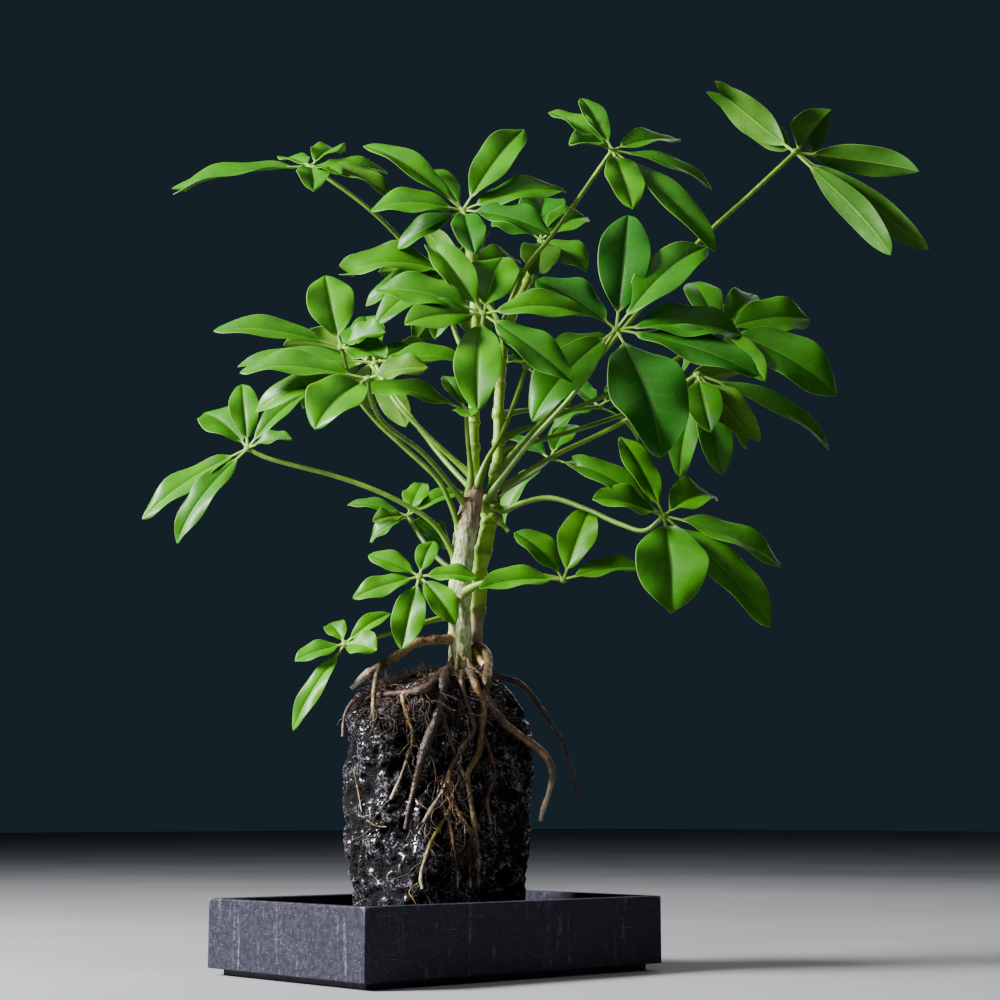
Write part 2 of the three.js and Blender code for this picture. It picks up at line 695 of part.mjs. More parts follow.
// One leaflet as a thin arched blade on its short stalk, from the hub at the origin.
function leaflet([dx, dy, dz, width, notch], facing, seed, grow) {
  const tip = new THREE.Vector3(dx, dy, dz);
  const length = tip.length();
  const forward = tip.clone().normalize();
  const up = facing.clone().addScaledVector(forward, -facing.dot(forward)).normalize();
  const side = new THREE.Vector3().crossVectors(up, forward);
  const fold = leaf.leastFold + leaf.foldRange * vary(seed);
  const bow = (leaf.leastBow + leaf.bowRange * vary(seed + 0.5)) * length;
  const halfThick = leaf.thickness / 2 + grow;
  const stations = length < leaf.shortLength ? [...leaf.shortStations] : [...leaf.stations];
  if (notch > 0) {
    stations.push(1);
  }
  const alongBlade = stations.map((s) => leaf.petioluleShare + s * (1 - leaf.petioluleShare));
  const shares = [(leaf.rootDepth * leaf.hubRadius) / length, ...alongBlade];
  const rings = shares.map((share, index) => {
    const half =
      grow + (index < 2 ? leaf.petioluleHalfWidth : (bladeWidthShare(stations[index - 1]) * width) / 2);
    const arch = bow * 4 * share * (1 - share);
    const midribShare = share === 1 ? 1 - notch : share;
    const middle = forward.clone().multiplyScalar(length * midribShare).addScaledVector(up, arch);
    const edge = forward.clone().multiplyScalar(length * share).addScaledVector(up, arch + fold * half);
    const left = edge.clone().addScaledVector(side, half);
    const right = edge.clone().addScaledVector(side, -half);
    const section = [left, middle, right];
    const over = section.map((point) => point.clone().addScaledVector(up, halfThick));
    const under = section.map((point) => point.clone().addScaledVector(up, -halfThick));
    return [...over, ...under.reverse()];
  });
  const point = notch > 0 ? [] : [forward.clone().multiplyScalar(length + grow)];
  return solidOf(bladeMesh(rings, point));
}

// Rings of six, from the left edge over the top to the right edge and back below, then a pointed tip
// if there is one. The quads of the lower face are split the same way as those above them, so that
// the two faces never cross.
function bladeMesh(rings, point) {
  const faces = [[0, 4, 1], [0, 5, 4], [1, 3, 2], [1, 4, 3]];
  const end = (rings.length - 1) * 6;
  for (let low = 0; low < end; low += 6) {
    for (let side = 0; side < 6; side += 1) {
      const a = low + side;
      const b = low + ((side + 1) % 6);
      const c = b + 6;
      const d = a + 6;
      if (side === 3 || side === 4) {
        faces.push([a, b, d], [b, c, d]);
      } else {
        faces.push([a, b, c], [a, c, d]);
      }
    }
  }
  if (point.length > 0) {
    for (let side = 0; side < 6; side += 1) {
      faces.push([end + side, end + ((side + 1) % 6), end + 6]);
    }
  } else {
    faces.push([end, end + 1, end + 4], [end, end + 4, end + 5]);
    faces.push([end + 1, end + 2, end + 3], [end + 1, end + 3, end + 4]);
  }
  return meshOf([...rings.flat(), ...point], faces);
}

function hubSolid(radius) {
  return solidOf(new THREE.OctahedronGeometry(radius));
}

function whorlSolid({ facing, leaflets }, firstSeed, grow) {
  const up = new THREE.Vector3(...facing).normalize();
  const blades = leaflets.map((row, index) => leaflet(row, up, firstSeed + index, grow));
  return union([hubSolid(leaf.hubRadius + grow), ...blades]);
}

// A stalk is swollen where it leaves the stem, then nearly even up to the hub.
function stalkPath({ hub, stalk: points }) {
  const route = [...points, hub];
  return route.map(([x, y, z], index) => {
    const share = (index - 1) / (route.length - 2);
    const slender = THREE.MathUtils.lerp(stalk.radius, stalk.tipRadius, share);
    return [x, y, z, index === 0 ? stalk.baseRadius : slender];
  });
}

// ---- Roots ----

function rootSolid(points) {
  const path = points.map((point) => {
    if (point.length === 4) {
      return point;
    }
    const [x, z, radius] = point;
    return [x, nearFaceOfRock(x, z) - radius - root.clearOfRock, z, radius];
  });
  const thickest = Math.max(...path.map((point) => point[3]));
  return stem(path, { sides: thickest < root.thinRadius ? root.thinSides : root.sides });
}

function crownSolid() {
  const [x, y, z] = rootCrown.centre;
  const [a, b, c] = rootCrown.radii;
  return solidOf(new THREE.IcosahedronGeometry(1, 1).scale(a, b, c).translate(x, y, z));
}

// ---- Assembly ----

const finishes = {
  clay: { color: 0x1d1c26, roughness: 0.6, metalness: 0 },
  lava: { color: 0x17171a, roughness: 0.7, metalness: 0 },
  bark: { color: 0x9c8f78, roughness: 0.8, metalness: 0 },
  root: { color: 0x7a4f30, roughness: 0.75, metalness: 0 },
  greenStem: { color: 0x6f8a45, roughness: 0.6, metalness: 0 },
  leafStalk: { color: 0x86b04a, roughness: 0.5, metalness: 0 },
  leafBlade: { color: 0x3f8a2c, roughness: 0.35, metalness: 0 },
};

function piece(name, solid, finish) {
  const mesh = new THREE.Mesh(geometryOf(solid), new THREE.MeshStandardMaterial(finishes[finish]));
  mesh.name = name;
  return mesh;
}

const group = new THREE.Group();
const plant = new THREE.Group();
plant.rotation.z = plantTurn;
group.add(plant);

group.add(piece("tray", traySolid(), "clay"));
group.add(piece("rock", rockSolid(0), "lava"));

const trunkSolid = (grow) => stem(trunkPath, { ...trunk, grow });
const greenStemSolid = (grow) =>
  union(greenStemPaths.map((path) => stem(path, { ...greenStem, grow })));
const rockInPlant = solidOf(geometryOf(rockSolid(gap)).rotateZ(-plantTurn));

const trunkKeep = trunkSolid(0).subtract(rockInPlant);
const trunkRoom = trunkSolid(gap);
plant.add(piece("trunk", trunkKeep, "bark"));
const greenStemKeep = largestBody(greenStemSolid(0).subtract(rockInPlant).subtract(trunkRoom));
const greenStemRoom = greenStemSolid(gap);
plant.add(piece("green_stem", greenStemKeep, "greenStem"));

const aerialShape = (grow) => union(aerialRootPaths.map((path) => stem(path, { ...aerialRoot, grow })));
const stemsRoom = trunkRoom.add(greenStemRoom);
const aerialRootKeep = largestBody(aerialShape(0).subtract(stemsRoom).subtract(rockInPlant));
plant.add(piece("aerial_root", aerialRootKeep, "root"));

const rootNet = union([crownSolid(), ...rootPaths.map(rootSolid)]);
const roots = largestBody(rootNet.subtract(rockInPlant).subtract(stemsRoom).subtract(aerialShape(gap)));
plant.add(piece("roots", roots, "root"));

let seed = 1;
let room = stemsRoom.add(aerialShape(gap));
for (const [name, entry] of Object.entries(leaves)) {
  const whorl = piece(`leaf_${name}_leaflets`, whorlSolid(entry, seed, 0), "leafBlade");
  whorl.position.set(...entry.hub);
  plant.add(whorl);
  if (entry.stalk.length > 0) {
    const path = stalkPath(entry);
    const whorlRoom = solidOf(geometryOf(whorlSolid(entry, seed, gap)).translate(...entry.hub));
    const cut = stem(path, stalk).subtract(room).subtract(whorlRoom);
    plant.add(piece(`leaf_${name}_stalk`, largestBody(cut), "leafStalk"));
    room = room.add(stem(path, { ...stalk, grow: gap }));
  }
  seed += entry.leaflets.length;
}

export default group;
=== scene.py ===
"""An umbrella plant grown over a lump of lava in a shallow tray, down to its veins, bark and grain.

The plant is laid out in millimetres in its own directions, x across, y away and z up, and turned
about Z into the frame. The solids are made from the same layout; the threads, side roots, fibres,
felt and splinters are finer than they are.
"""

import math

import bmesh
import bpy
import mathutils
import numpy as np
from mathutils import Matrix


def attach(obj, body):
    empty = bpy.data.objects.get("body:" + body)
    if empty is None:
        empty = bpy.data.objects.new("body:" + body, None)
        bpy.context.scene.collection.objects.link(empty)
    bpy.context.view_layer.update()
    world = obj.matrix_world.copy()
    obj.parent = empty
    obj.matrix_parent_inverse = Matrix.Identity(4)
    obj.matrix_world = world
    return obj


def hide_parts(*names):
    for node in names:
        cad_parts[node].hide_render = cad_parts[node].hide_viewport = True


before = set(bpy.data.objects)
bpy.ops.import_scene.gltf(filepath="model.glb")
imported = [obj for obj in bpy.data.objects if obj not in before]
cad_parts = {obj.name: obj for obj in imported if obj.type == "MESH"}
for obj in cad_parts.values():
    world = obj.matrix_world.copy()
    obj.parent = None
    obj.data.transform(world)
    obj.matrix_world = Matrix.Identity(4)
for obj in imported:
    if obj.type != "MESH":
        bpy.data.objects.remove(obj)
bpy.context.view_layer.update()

MM = 0.001
PLANT_TURN = math.radians(-41.5)

# ---- Sizes, in millimetres ----

TRAY = dict(
    length=170, width=112, height=33, wall=4.5, floor=5, foot=3, foot_inset=5, softening=0.7,
    longest_edge=4.5,
)
ROCK = dict(
    half_length=38.5, half_width=29, squareness=5, foot=8.3, top=130, crest=131.5, shoulder=12,
    taper=0.4, waste=1.6, undercut=2.5, foot_fade=14, low_angle=171, low_half=43, low_drop=6.5,
)
# Waves round the rock: size, waves in a turn, height in a radian, phase.
ROCK_WAVES = [(1.1, 3, 11, 0), (0.8, 5, -7, 1), (0.6, 8, 5, 2)]
# Its hollows and bulges: degrees round it, height, how far out, half width in degrees, half height.
ROCK_LUMPS = [
    (202, 92, -12, 13, 34), (226, 92, -12, 20, 34), (318, 124, -6.5, 30, 16), (328, 84, 2.5, 24, 20),
    (322, 12, -6, 26, 20), (148, 108, 2.5, 26, 20), (148, 66, 2, 26, 12), (148, 34, -1.5, 26, 12),
]
LEAF = dict(
    hub=2.0, hub_flatness=0.62, petiolule=0.62, petiolule_share=0.13, least_fold=0.16, fold_range=0.24,
    least_bow=0.05, bow_range=0.06, twist=0.2, least_ripple=0.035, ripple_range=0.05, swing=0.022,
)
# Side veins on each side of a leaflet's midrib, and how far along they slant, as shares of its length.
VEIN_PAIRS = 9
VEIN_SLANT = 0.13
STALK = dict(radius=1.22, tip=1.0, swelling=1.25, swollen_length=9.0)
# How far a root that is laid on the rock's smooth form stays off it.
CLEAR_OF_ROCK = 0.6

# ---- The plant's layout ----
# Points are (x, y, z). A stem's or root's points end with the radius there.

TRUNK = [
    (9.3, 0, 129, 5.8), (9.3, 0, 140, 5.1), (9.2, 0, 157, 5), (9.2, 0, 168, 5), (9.6, 0, 180, 5.3),
    (10.5, 0, 188.5, 5), (11.4, 0, 196.5, 5.3), (13.9, 0, 208.5, 5), (15.5, 0, 215, 4.1),
    (16, 0, 217, 3.6), (16.2, 0, 218, 2.2),
]
# Splinters round the trunk's cut top: degrees round it, height of the tip.
SPLINTERS = [(15, 218.5), (70, 217.2), (118, 219), (170, 220), (215, 218.2), (262, 219.4), (320, 217.6)]
GREEN_STEMS = [
    # The second stem, going on as the back shoot.
    [
        (15, 8, 129, 2.8), (16, 8, 144, 2.4), (16.4, 9, 149, 2.4), (17.3, 10, 161.5, 3),
        (17.8, 10, 170.5, 3.8), (18.2, 10, 181.5, 3.4), (19.8, 10, 191, 3.8), (21.5, 10, 199, 3.8),
        (22.6, 10, 207, 2.8), (22.8, 10, 214.5, 2.5), (24.7, 13, 223.5, 2.5), (26.6, 15, 236.5, 2.5),
        (27, 17, 262, 2.4), (31, 26, 300, 2.1), (41, 45, 329, 1.8), (47, 58, 350, 1.6),
    ],
    # The front shoot, to the top of the crown.
    [
        (22.3, 10, 204, 2.6), (18.5, 9, 214, 2.5), (15.5, 7, 226, 2.7), (15.1, 6, 240, 2.7),
        (15.3, 5, 256, 2.6), (16, 5, 290, 2.4), (14, 3, 331, 2.2), (10, 0, 347, 2),
    ],
    # A short stub below the fork.
    [(22.6, 9, 208, 1.4), (27.5, 4, 203, 1.1), (31.2, 2, 198.5, 1)],
]

# Each leaf: hub, the way the whorl faces, its stalk's points from the stem on, its leaflets as
# (dx, dy, dz of the tip from the hub, width) with the depth of a notch in the tip where there is one,
# and how dark its green is, from 0 to 1: partly how mature it is, partly painted shade, darker on
# leaves that lie in shade and lighter on those in light.
LEAVES = {
    "far_right": ((169, 10, 383), (0.1, 0.85, 0.5),
        [(27, 16, 230), (56, 12, 262), (94, 12, 306), (122, 12, 339), (148, 10, 363)],
        [(-39, 10, 37, 16, 0.12), (-24, 22, 23, 13, 0.12), (22, 24, 30, 20), (58, -5, -11, 15),
         (60, -10, -51, 14), (40, -22, -57, 14)], 0.95),
    "top_right": ((81, 4, 382), (0, -0.65, 0.75),
        [(16, 6, 266), (23, 12, 285), (40, 14, 327), (52, 12, 342)],
        [(-30, 12, 23, 14), (-14, 20, 33, 12), (-21, -16, -3, 16), (34, 22, 12, 20), (48, 8, -17, 14),
         (46, -18, -55, 17), (8, -20, -35, 18)], 0.55),
    "front_right": ((80, -30, 286), (0.05, -0.8, 0.6),
        [(21, 8, 214), (41, -8, 238), (61, -18, 259)],
        [(7, 15, 58, 24), (43, 12, 42, 22), (58, 8, -1, 22), (63, -8, -23, 21), (18, -25, -63, 36),
         (-38, -8, -44, 24), (-36, 8, 25, 22)], 0.9),
    "right_rear": ((134, 35, 302), (0.05, -0.9, 0.45),
        [(27, 16, 244), (50, 28, 256), (80, 34, 270), (112, 36, 287)],
        [(46, 12, 8, 23), (55, -6, -34, 27), (-11, 26, 30, 18), (19, -20, -30, 14), (20, 26, 24, 17)], 0.6),
    "right_droop": ((120, 5, 273), (-0.1, -0.8, 0.6),
        [(27, 15, 220), (51, 20, 236), (84, 18, 252), (108, 8, 266)],
        [(24, -12, -36, 18, 0.12), (63, 15, -33, 13), (4, -18, -31, 17), (12, 10, -46, 16),
         (-7, 22, -45, 15)], 0.6),
    "low_right": ((100, -35, 200), (0.05, -0.72, 0.7),
        [(24.5, 9, 211.5), (29, 4, 208.5), (37, -1, 211), (50, -5, 213), (67, -15, 206), (81, -25, 198),
         (92, -32, 194)],
        [(-32, -10, 6, 19), (-42, 8, 26, 17, 0.1), (-18, 18, 39, 14), (24, 20, 12, 20), (52, 5, -22, 16),
         (45, -8, -50, 21), (1, -20, -45, 32)], 0.4),
    "low_middle": ((56, -15, 174), (0, -0.7, 0.7),
        [(10, -2, 169), (17.5, -8, 172.5), (32, -12, 175.5), (46, -14, 176)],
        [(-38, -8, -5, 15), (-22, 4, 22, 15), (13, 8, 33, 18), (37, 0, 5, 13)], 0.25),
    "low_front": ((-8, -35, 173), (0, -0.8, 0.6),
        [(10, 0, 165), (2, -16, 167), (-5, -29, 169)],
        [(-23, 5, 10, 11), (-29, -4, -10, 12), (-7, -10, -33, 15), (16, -8, -22, 13), (26, 0, -1, 10),
         (6, 10, 17, 10)], 0.3),
    "lowest_left": ((-42, -15, 145), (-0.1, -0.8, 0.6),
        [(10, 0, 160), (-4, -9, 156), (-22, -13, 150), (-34, -14, 147)],
        [(-8, 12, 10, 10), (-22, -4, -8, 11), (-22, -6, -39, 10), (15, -10, -4, 15), (20, 6, 14, 9)], 0.1),
    "far_left": ((-88, -10, 235), (0, -0.7, 0.7),
        [(10, 0, 180), (-2, -5, 200), (-15, -7, 209), (-32, -8, 217), (-50, -9, 223), (-80, -10, 231)],
        [(-46, -8, -34, 15), (-29, -14, -46, 14), (-23, 18, 20, 21), (-5, 14, 33, 14), (21, -6, 3, 10),
         (25, 10, 27, 11)], 0.45),
    "left_upper": ((-45, -20, 280), (-0.05, -0.75, 0.65),
        [(11, 0, 193), (4, -6, 212), (-1, -8, 221), (-17, -11, 236), (-30, -14, 248), (-39, -18, 260)],
        [(-58, -3, 7, 15), (-9, 12, 37, 22), (21, -12, 4, 17), (22, -16, -9, 17)], 0.45),
    "left_front": ((-31, -45, 260), (-0.05, -0.8, 0.6),
        [(14, 0, 208), (-7, -18, 231), (-25, -33, 243), (-30, -42, 252)],
        [(-57, 2, 3, 16), (-51, 12, -13, 16), (-21, -22, -27, 26), (27, -8, 3, 14)], 0.4),
    "middle_small": ((12, -14, 252), (0, -0.7, 0.7),
        [(13.5, -1, 214.5), (14.1, -3, 225), (13.2, -7, 235), (12.3, -11, 245)],
        [(-47, -4, 8, 14), (3, -16, -6, 14), (-11, 10, 18, 9)], 0.4),
    "crown_front": ((20, -50, 288), (0, -0.85, 0.53),
        [(15.5, 5, 258), (17, -12, 266), (19, -36, 279)],
        [(-34, -14, -8, 20), (-48, 4, 12, 18), (-24, 14, 36, 17, 0.12), (9, 22, 32, 23), (-2, -18, -47, 21),
         (45, 4, 1, 16), (39, -10, -33, 18)], 0.55),
    "crown_left": ((7, 15, 325), (-0.1, -0.8, 0.6),
        [(16, 5, 296), (11, 11, 308)],
        [(-56, -2, -2, 22, 0.12), (-44, 10, -14, 15), (-38, -12, -29, 17), (-10, -14, -36, 15),
         (30, 20, 11, 20)], 0.5),
    "crown_top": ((10, 0, 351), (0.05, -0.8, 0.6),
        [],
        [(-48, 10, 35, 15), (-16, 22, 27, 12), (29, 12, 44, 19), (49, 6, 11, 18), (41, -10, -15, 17),
         (6, -24, -28, 16), (-43, -6, -2, 20), (-31, 10, -16, 16)], 0.65),
    "top_left": ((-63, 10, 376), (0, -0.6, 0.8),
        [(16, 5, 275), (8, 20, 292), (-1, 29, 317), (-21, 23, 344), (-37, 15, 358)],
        [(-65, -6, -15, 17, 0.1), (3, -18, -18, 16), (16, -14, -9, 11), (12, 28, 16, 15), (39, -4, -17, 15),
         (36, 14, 1, 14), (-16, 26, 12, 14)], 0.45),
    "crown_rear": ((48, 60, 354), (0, -0.8, 0.6),
        [],
        [(2, 24, 30, 24), (22, -14, -20, 18), (-2, -22, -25, 20, 0.12), (-24, 12, 14, 21),
         (24, 14, 16, 19)], 0.75),
    "low_rear": ((-17, 40, 211), (-0.1, -0.7, 0.7),
        [(19, 10, 176), (2, 20, 185), (-9, 31, 198)],
        [(-29, 3, 6, 9), (-16, -10, -4, 11), (-18, 5, -12, 11), (7, 12, 18, 13), (20, 5, -16, 15),
         (27, 8, 13, 10)], 0.5),
    "rear_small": ((77, 70, 271), (0, -0.5, 0.85),
        [(27, 17, 256), (42, 34, 262), (62, 54, 266)],
        [(-24, 8, -13, 16), (20, 10, -16, 15), (26, 20, 14, 16), (-16, 24, 16, 15)], 0.8),
    "rear_low": ((53, 90, 248), (0, -0.4, 0.9),
        [(25, 13, 216), (32, 32, 224), (44, 62, 236)],
        [(-23, 4, -33, 18), (36, 10, -14, 16), (-22, 20, 14, 15), (14, 25, 22, 15)], 0.8),
    "middle_rear": ((40, 15, 279), (0, -0.7, 0.7),
        [(16.5, 5, 218.5), (21, 3.5, 231), (28, 6, 244), (35, 10, 263)],
        [(-9, -14, -1, 9), (-8, 8, 20, 15), (41, 8, 15, 16), (20, -10, -22, 15)], 0.8),
    "left_rear": ((-32, 20, 282), (-0.05, -0.7, 0.7),
        [(18, 8, 222), (-8, 8, 246), (-22, 12, 262)],
        [(-66, 4, -1, 16), (18, 14, 10, 14), (-6, 22, 28, 16), (43, 0, 0, 15)], 0.45),
    "back_left": ((-40, 85, 298), (-0.3, 0.5, 0.8),
        [(19, 10, 214), (0, 32, 238), (-24, 62, 274)],
        [(-44, 8, 10, 20), (-36, 34, -18, 22), (0, 46, -16, 21), (34, 34, 8, 19), (-8, 24, 26, 17),
         (20, 2, -34, 15)], 0.6),
    "back_top": ((8, 92, 338), (0, 0.5, 0.85),
        [(30, 24, 294), (24, 48, 314), (14, 78, 331)],
        [(-44, 12, 12, 20), (-26, 36, -20, 21), (12, 44, -18, 22), (44, 22, 4, 20), (14, 14, 34, 18),
         (-20, 6, 34, 16)], 0.55),
    "back_right": ((118, 92, 284), (0.3, 0.5, 0.8),
        [(27, 15, 238), (66, 30, 252), (104, 66, 272)],
        [(40, 10, 12, 19), (30, 32, -20, 20), (-6, 40, -22, 20), (-36, 20, 4, 18), (4, 20, 34, 17)], 0.65),
}

# Leaflets that show their duller face on top, by their places in their rows.
TURNED = dict(right_droop=(0,), top_left=(4,), crown_rear=(2,), left_front=(3,), low_rear=(1,))

# The knot at the trunk's foot where the roots meet.
ROOT_CROWN = dict(centre=(10, 2, 131.5), radii=(10.5, 10, 4.5))
# The roots: points, then how pale and how red they are, from 0 to 1. Points of three numbers are
# (x, z, radius), laid on the rock's near face.
ROOTS = [
    # The long one on the left.
    ([(7, -3, 134, 2.4), (3.5, -14, 132.5, 2.4), (2.8, -21, 130, 2.4), (2, 123, 2.4), (0.3, 112.5, 2.4),
      (-3.5, 103, 2.2), (-7, 92.5, 2), (-9.7, 82, 1.6), (-12.2, 72, 1.3), (-13.7, 63, 0.9)], 0.0, 0.6),
    # Along the near edge of the top, to the left, and over its corner.
    ([(4, -2, 134, 2.6), (1.5, -13, 132, 2.4), (0.5, -21, 129.5, 2.2), (-4.2, 124.5, 1.9),
      (-7.6, 123, 1.8), (-14.6, 122.3, 1.5), (-20.9, 122, 1.3), (-26.8, 122, 1.1), (-32.2, 121, 1),
      (-38, -14.5, 119.5, 0.9), (-42.2, -10, 113, 0.8), (-43, -9, 104, 0.8)], 0.12, 0.9),
    # The thin one that hangs from it.
    ([(-15.5, 121.5, 1.1), (-14.6, 117.5, 1), (-13, 112, 1), (-10.8, 104.5, 0.9), (-11.6, 98, 0.8),
      (-14.2, 91, 0.8), (-17.2, 83, 0.8), (-20.3, 76, 0.7)], 0.5, 0.1),
    # The long one in the middle, from a loop in the air at the trunk's foot,
    # and a short strand inside the loop.
    ([(13.5, 4, 143.5, 1.9), (17.9, 3, 145, 2), (21.1, 0, 142, 2), (22.3, -6, 137, 2),
      (21.8, -14, 131.5, 2), (21.2, -19, 127.5, 2), (20.8, 124, 2), (20, 113, 1.9), (19, 104.5, 1.8),
      (18.2, 97, 1.8), (13.4, 87.5, 1.5), (13.9, 80, 1.2), (15.3, 72, 1.1), (16.6, 62.5, 1.3),
      (17, 56, 1.6), (17.8, 49.5, 1.5), (17.6, 44, 1), (18.3, 38.5, 0.7)], 0.32, 0.2),
    ([(15.5, 2, 143.5, 1.3), (17.8, -1, 140, 1.4), (20.5, -6, 136, 1.4)], 0.9, 0.5),
    # The one that crosses behind it and parts twice.
    ([(10.5, -4, 134, 1.6), (10.4, -14, 131.5, 1.6), (10.2, -20, 129.5, 1.5), (12, 121, 1.3),
      (14.2, 114.5, 1.2), (16, 107, 1.2), (11.7, 99.5, 1.2), (6.6, 91, 1.2), (5.3, 87.5, 1.2),
      (3.2, 81, 1.1), (-0.9, 74, 1.1), (-4, 69, 1), (-5.7, 66, 0.8)], 0.2, 0.3),
    ([(5.3, 87.5, 1.2), (5.3, 81, 1), (7, 75.5, 1), (10.1, 69, 1), (13.5, 63.5, 0.9), (16.1, 57.5, 0.8)],
     0.3, 0.4),
    ([(5.4, 84, 1), (6.6, 75, 0.9), (2.3, 66, 0.8), (-1.4, 59.5, 0.8), (-3.9, 53, 0.8), (-6.5, 43, 0.75),
      (-5.8, 38, 0.6)], 0.8, 0.0),
    ([(6.8, 76, 0.9), (5.3, 68.5, 0.8), (6.6, 60.5, 0.7), (7.5, 54, 0.6), (8.8, 44.5, 0.6), (9.1, 38, 0.5)],
     0.6, 0.5),
    ([(15.8, 62, 0.9), (14.4, 56, 0.7), (14.3, 45.5, 0.6), (14.6, 38, 0.5)], 0.5, 0.5),
    # Short ones.
    ([(18.5, -22, 123, 1.4), (23, 119.5, 1.3), (26.2, 114.5, 1.3), (29.1, 108.5, 1.1)], 0.12, 0.5),
    ([(19.3, 107, 1), (23, 97, 0.8), (24.8, 91, 0.8), (25.3, 87, 0.8), (23.5, 81.5, 0.8),
      (21.8, 76, 0.8), (22.4, 70.5, 0.8), (23.5, 65.5, 0.7)], 0.2, 0.9),
    ([(1.5, 115, 1), (6.5, 99.5, 0.8), (10.8, 88, 0.8), (13.2, 83.5, 0.7)], 0.3, 0.4),
    # The arching one on the right, and a thin one behind it.
    ([(12, -3, 134, 1.8), (14, -13, 132.5, 1.8), (15.5, -20, 129, 1.8), (18.2, 123, 1.9),
      (22.7, 117.5, 1.8), (26.6, 112.3, 1.8), (30.6, -15, 108.7, 1.8), (35, -14.5, 105.3, 1.7),
      (39, -14, 102.4, 1.7), (43, -14, 99.5, 1.6), (46.6, -14, 96.6, 1.6), (49, -14, 93, 1.5),
      (50.7, -14, 87, 1.4), (49.1, -13.5, 79, 1.3), (46.7, -13, 72, 1.2), (45.3, -13, 66.5, 0.8)],
     0.36, 0.45),
    ([(16, 6, 133, 1.8), (36, 8, 129, 1.4), (50, 10, 112, 1), (58, 12, 98, 0.9), (63, 12, 78, 0.7)],
     0.05, 0.5),
    # Ridges that run out from the trunk's foot.
    ([(5.9, -2.6, 141, 0.8), (4.6, -5.4, 135.5, 1.7), (0.6, -10, 132.2, 1.9), (-4, -15, 130, 1.3)], 0.6, 0.5),
    ([(8.4, -4.6, 141, 0.8), (8.2, -7.6, 135, 1.7), (7, -13, 131.6, 1.6), (5, -18, 128.5, 1.1)], 0.5, 0.3),
    ([(12.4, -3.4, 140, 0.8), (14.6, -6, 134.6, 1.6), (18, -11, 131.4, 1.5), (21, -16, 128.5, 1.1)],
     0.5, 0.45),
    # Two at the back.
    ([(10, 10, 132, 2.2), (4, 23, 133, 2), (-5, 41, 124, 1.8), (-8, 48, 99, 1.5), (-4, 49, 70, 1.1),
      (-7, 48, 44, 0.8)], 0.4, 0.4),
    ([(16, 10, 132, 2), (24, 22, 132, 1.8), (33, 32, 116, 1.5), (36, 36, 92, 1.2), (33, 38, 66, 0.8)],
     0.5, 0.5),
]
# Threads on the rock's left, in the same form.
THREADS = [
    ([(-37.6, 89.5, 0.3), (-35.5, 80.2, 0.3), (-33.4, 70.5, 0.22)], 1.0, 0.4),
    ([(-30.8, 67, 0.3), (-26.6, 64.5, 0.3), (-22.1, 64.1, 0.22)], 1.0, 0.4),
    ([(-28.4, 63.6, 0.4), (-33, 60.1, 0.35), (-38, 57.4, 0.3), (-38.8, 51.7, 0.22)], 0.1, 0.5),
]
# The aerial root and the branch that leaves it.
AERIAL_ROOTS = [
    ([(8, 0, 148.5, 2.2), (-2, -7, 147.5, 2.1), (-10.4, -10, 146, 2.1), (-16.6, -12, 141.5, 2),
      (-25.4, -14, 135.5, 2), (-33.4, -15, 130.5, 1.8), (-38.8, -16, 125, 1.3)], 0.75, 0.6),
    ([(-24, -14, 137.5, 1.4), (-26.8, -18, 132.5, 1.3), (-28, -23, 125.5, 1.2),
      (-28.3, -26.5, 117.5, 1.1), (-27.8, -26.5, 110, 0.8)], 0.6, 0.05),
]

# ---- Places ----


def to_frame(points):
    """Plant millimetres to frame metres."""
    points = np.asarray(points, dtype=float).reshape(-1, 3)
    cos, sin = math.cos(PLANT_TURN), math.sin(PLANT_TURN)
    x = points[:, 0] * cos - points[:, 1] * sin
    y = points[:, 0] * sin + points[:, 1] * cos
    return np.stack([x, y, points[:, 2]], axis=1) * MM


def vary(index):
    """A number in 0..1 that looks random, and is the one that shapes the solid of the same leaflet."""
    value = math.sin(index * 12.9898 + 4.1) * 43758.5453
    return value - math.floor(value)


def bell(distance, half):
    """1 at no distance, falling to nothing in a few halves."""
    return np.exp(-((distance / half) ** 2))


def smooth_path(path, per_span=10):
    """A centripetal Catmull-Rom curve through points of (x, y, z, radius)."""
    points = [np.array(p[:3], dtype=float) for p in path]
    radii = [p[3] for p in path]
    ends = [2 * points[0] - points[1]] + points + [2 * points[-1] - points[-2]]
    out = []
    for i in range(len(points) - 1):
        p0, p1, p2, p3 = ends[i:i + 4]
        d0, d1, d2 = (max(np.linalg.norm(b - a) ** 0.5, 1e-4) for a, b in ((p0, p1), (p1, p2), (p2, p3)))
        t1 = ((p1 - p0) / d0 - (p2 - p0) / (d0 + d1) + (p2 - p1) / d1) * d1
        t2 = ((p2 - p1) / d1 - (p3 - p1) / (d1 + d2) + (p3 - p2) / d2) * d1
        last = i == len(points) - 2
        for step in range(per_span + (1 if last else 0)):
            t = step / per_span
            place = (
                p1 + t1 * t + (-3 * p1 + 3 * p2 - 2 * t1 - t2) * t ** 2 + (2 * p1 - 2 * p2 + t1 + t2) * t ** 3
            )
            out.append((*place, radii[i] + (radii[i + 1] - radii[i]) * t))
    return out


def degrees_past(angle, degrees):
    """From -180 to 180, how far an angle in radians lies past one in degrees."""
    return (np.degrees(angle) - degrees + 180) % 360 - 180


def rock_top(angle):
    """The height of the rock's edge."""
    return ROCK["top"] - ROCK["low_drop"] * bell(degrees_past(angle, ROCK["low_angle"]), ROCK["low_half"])


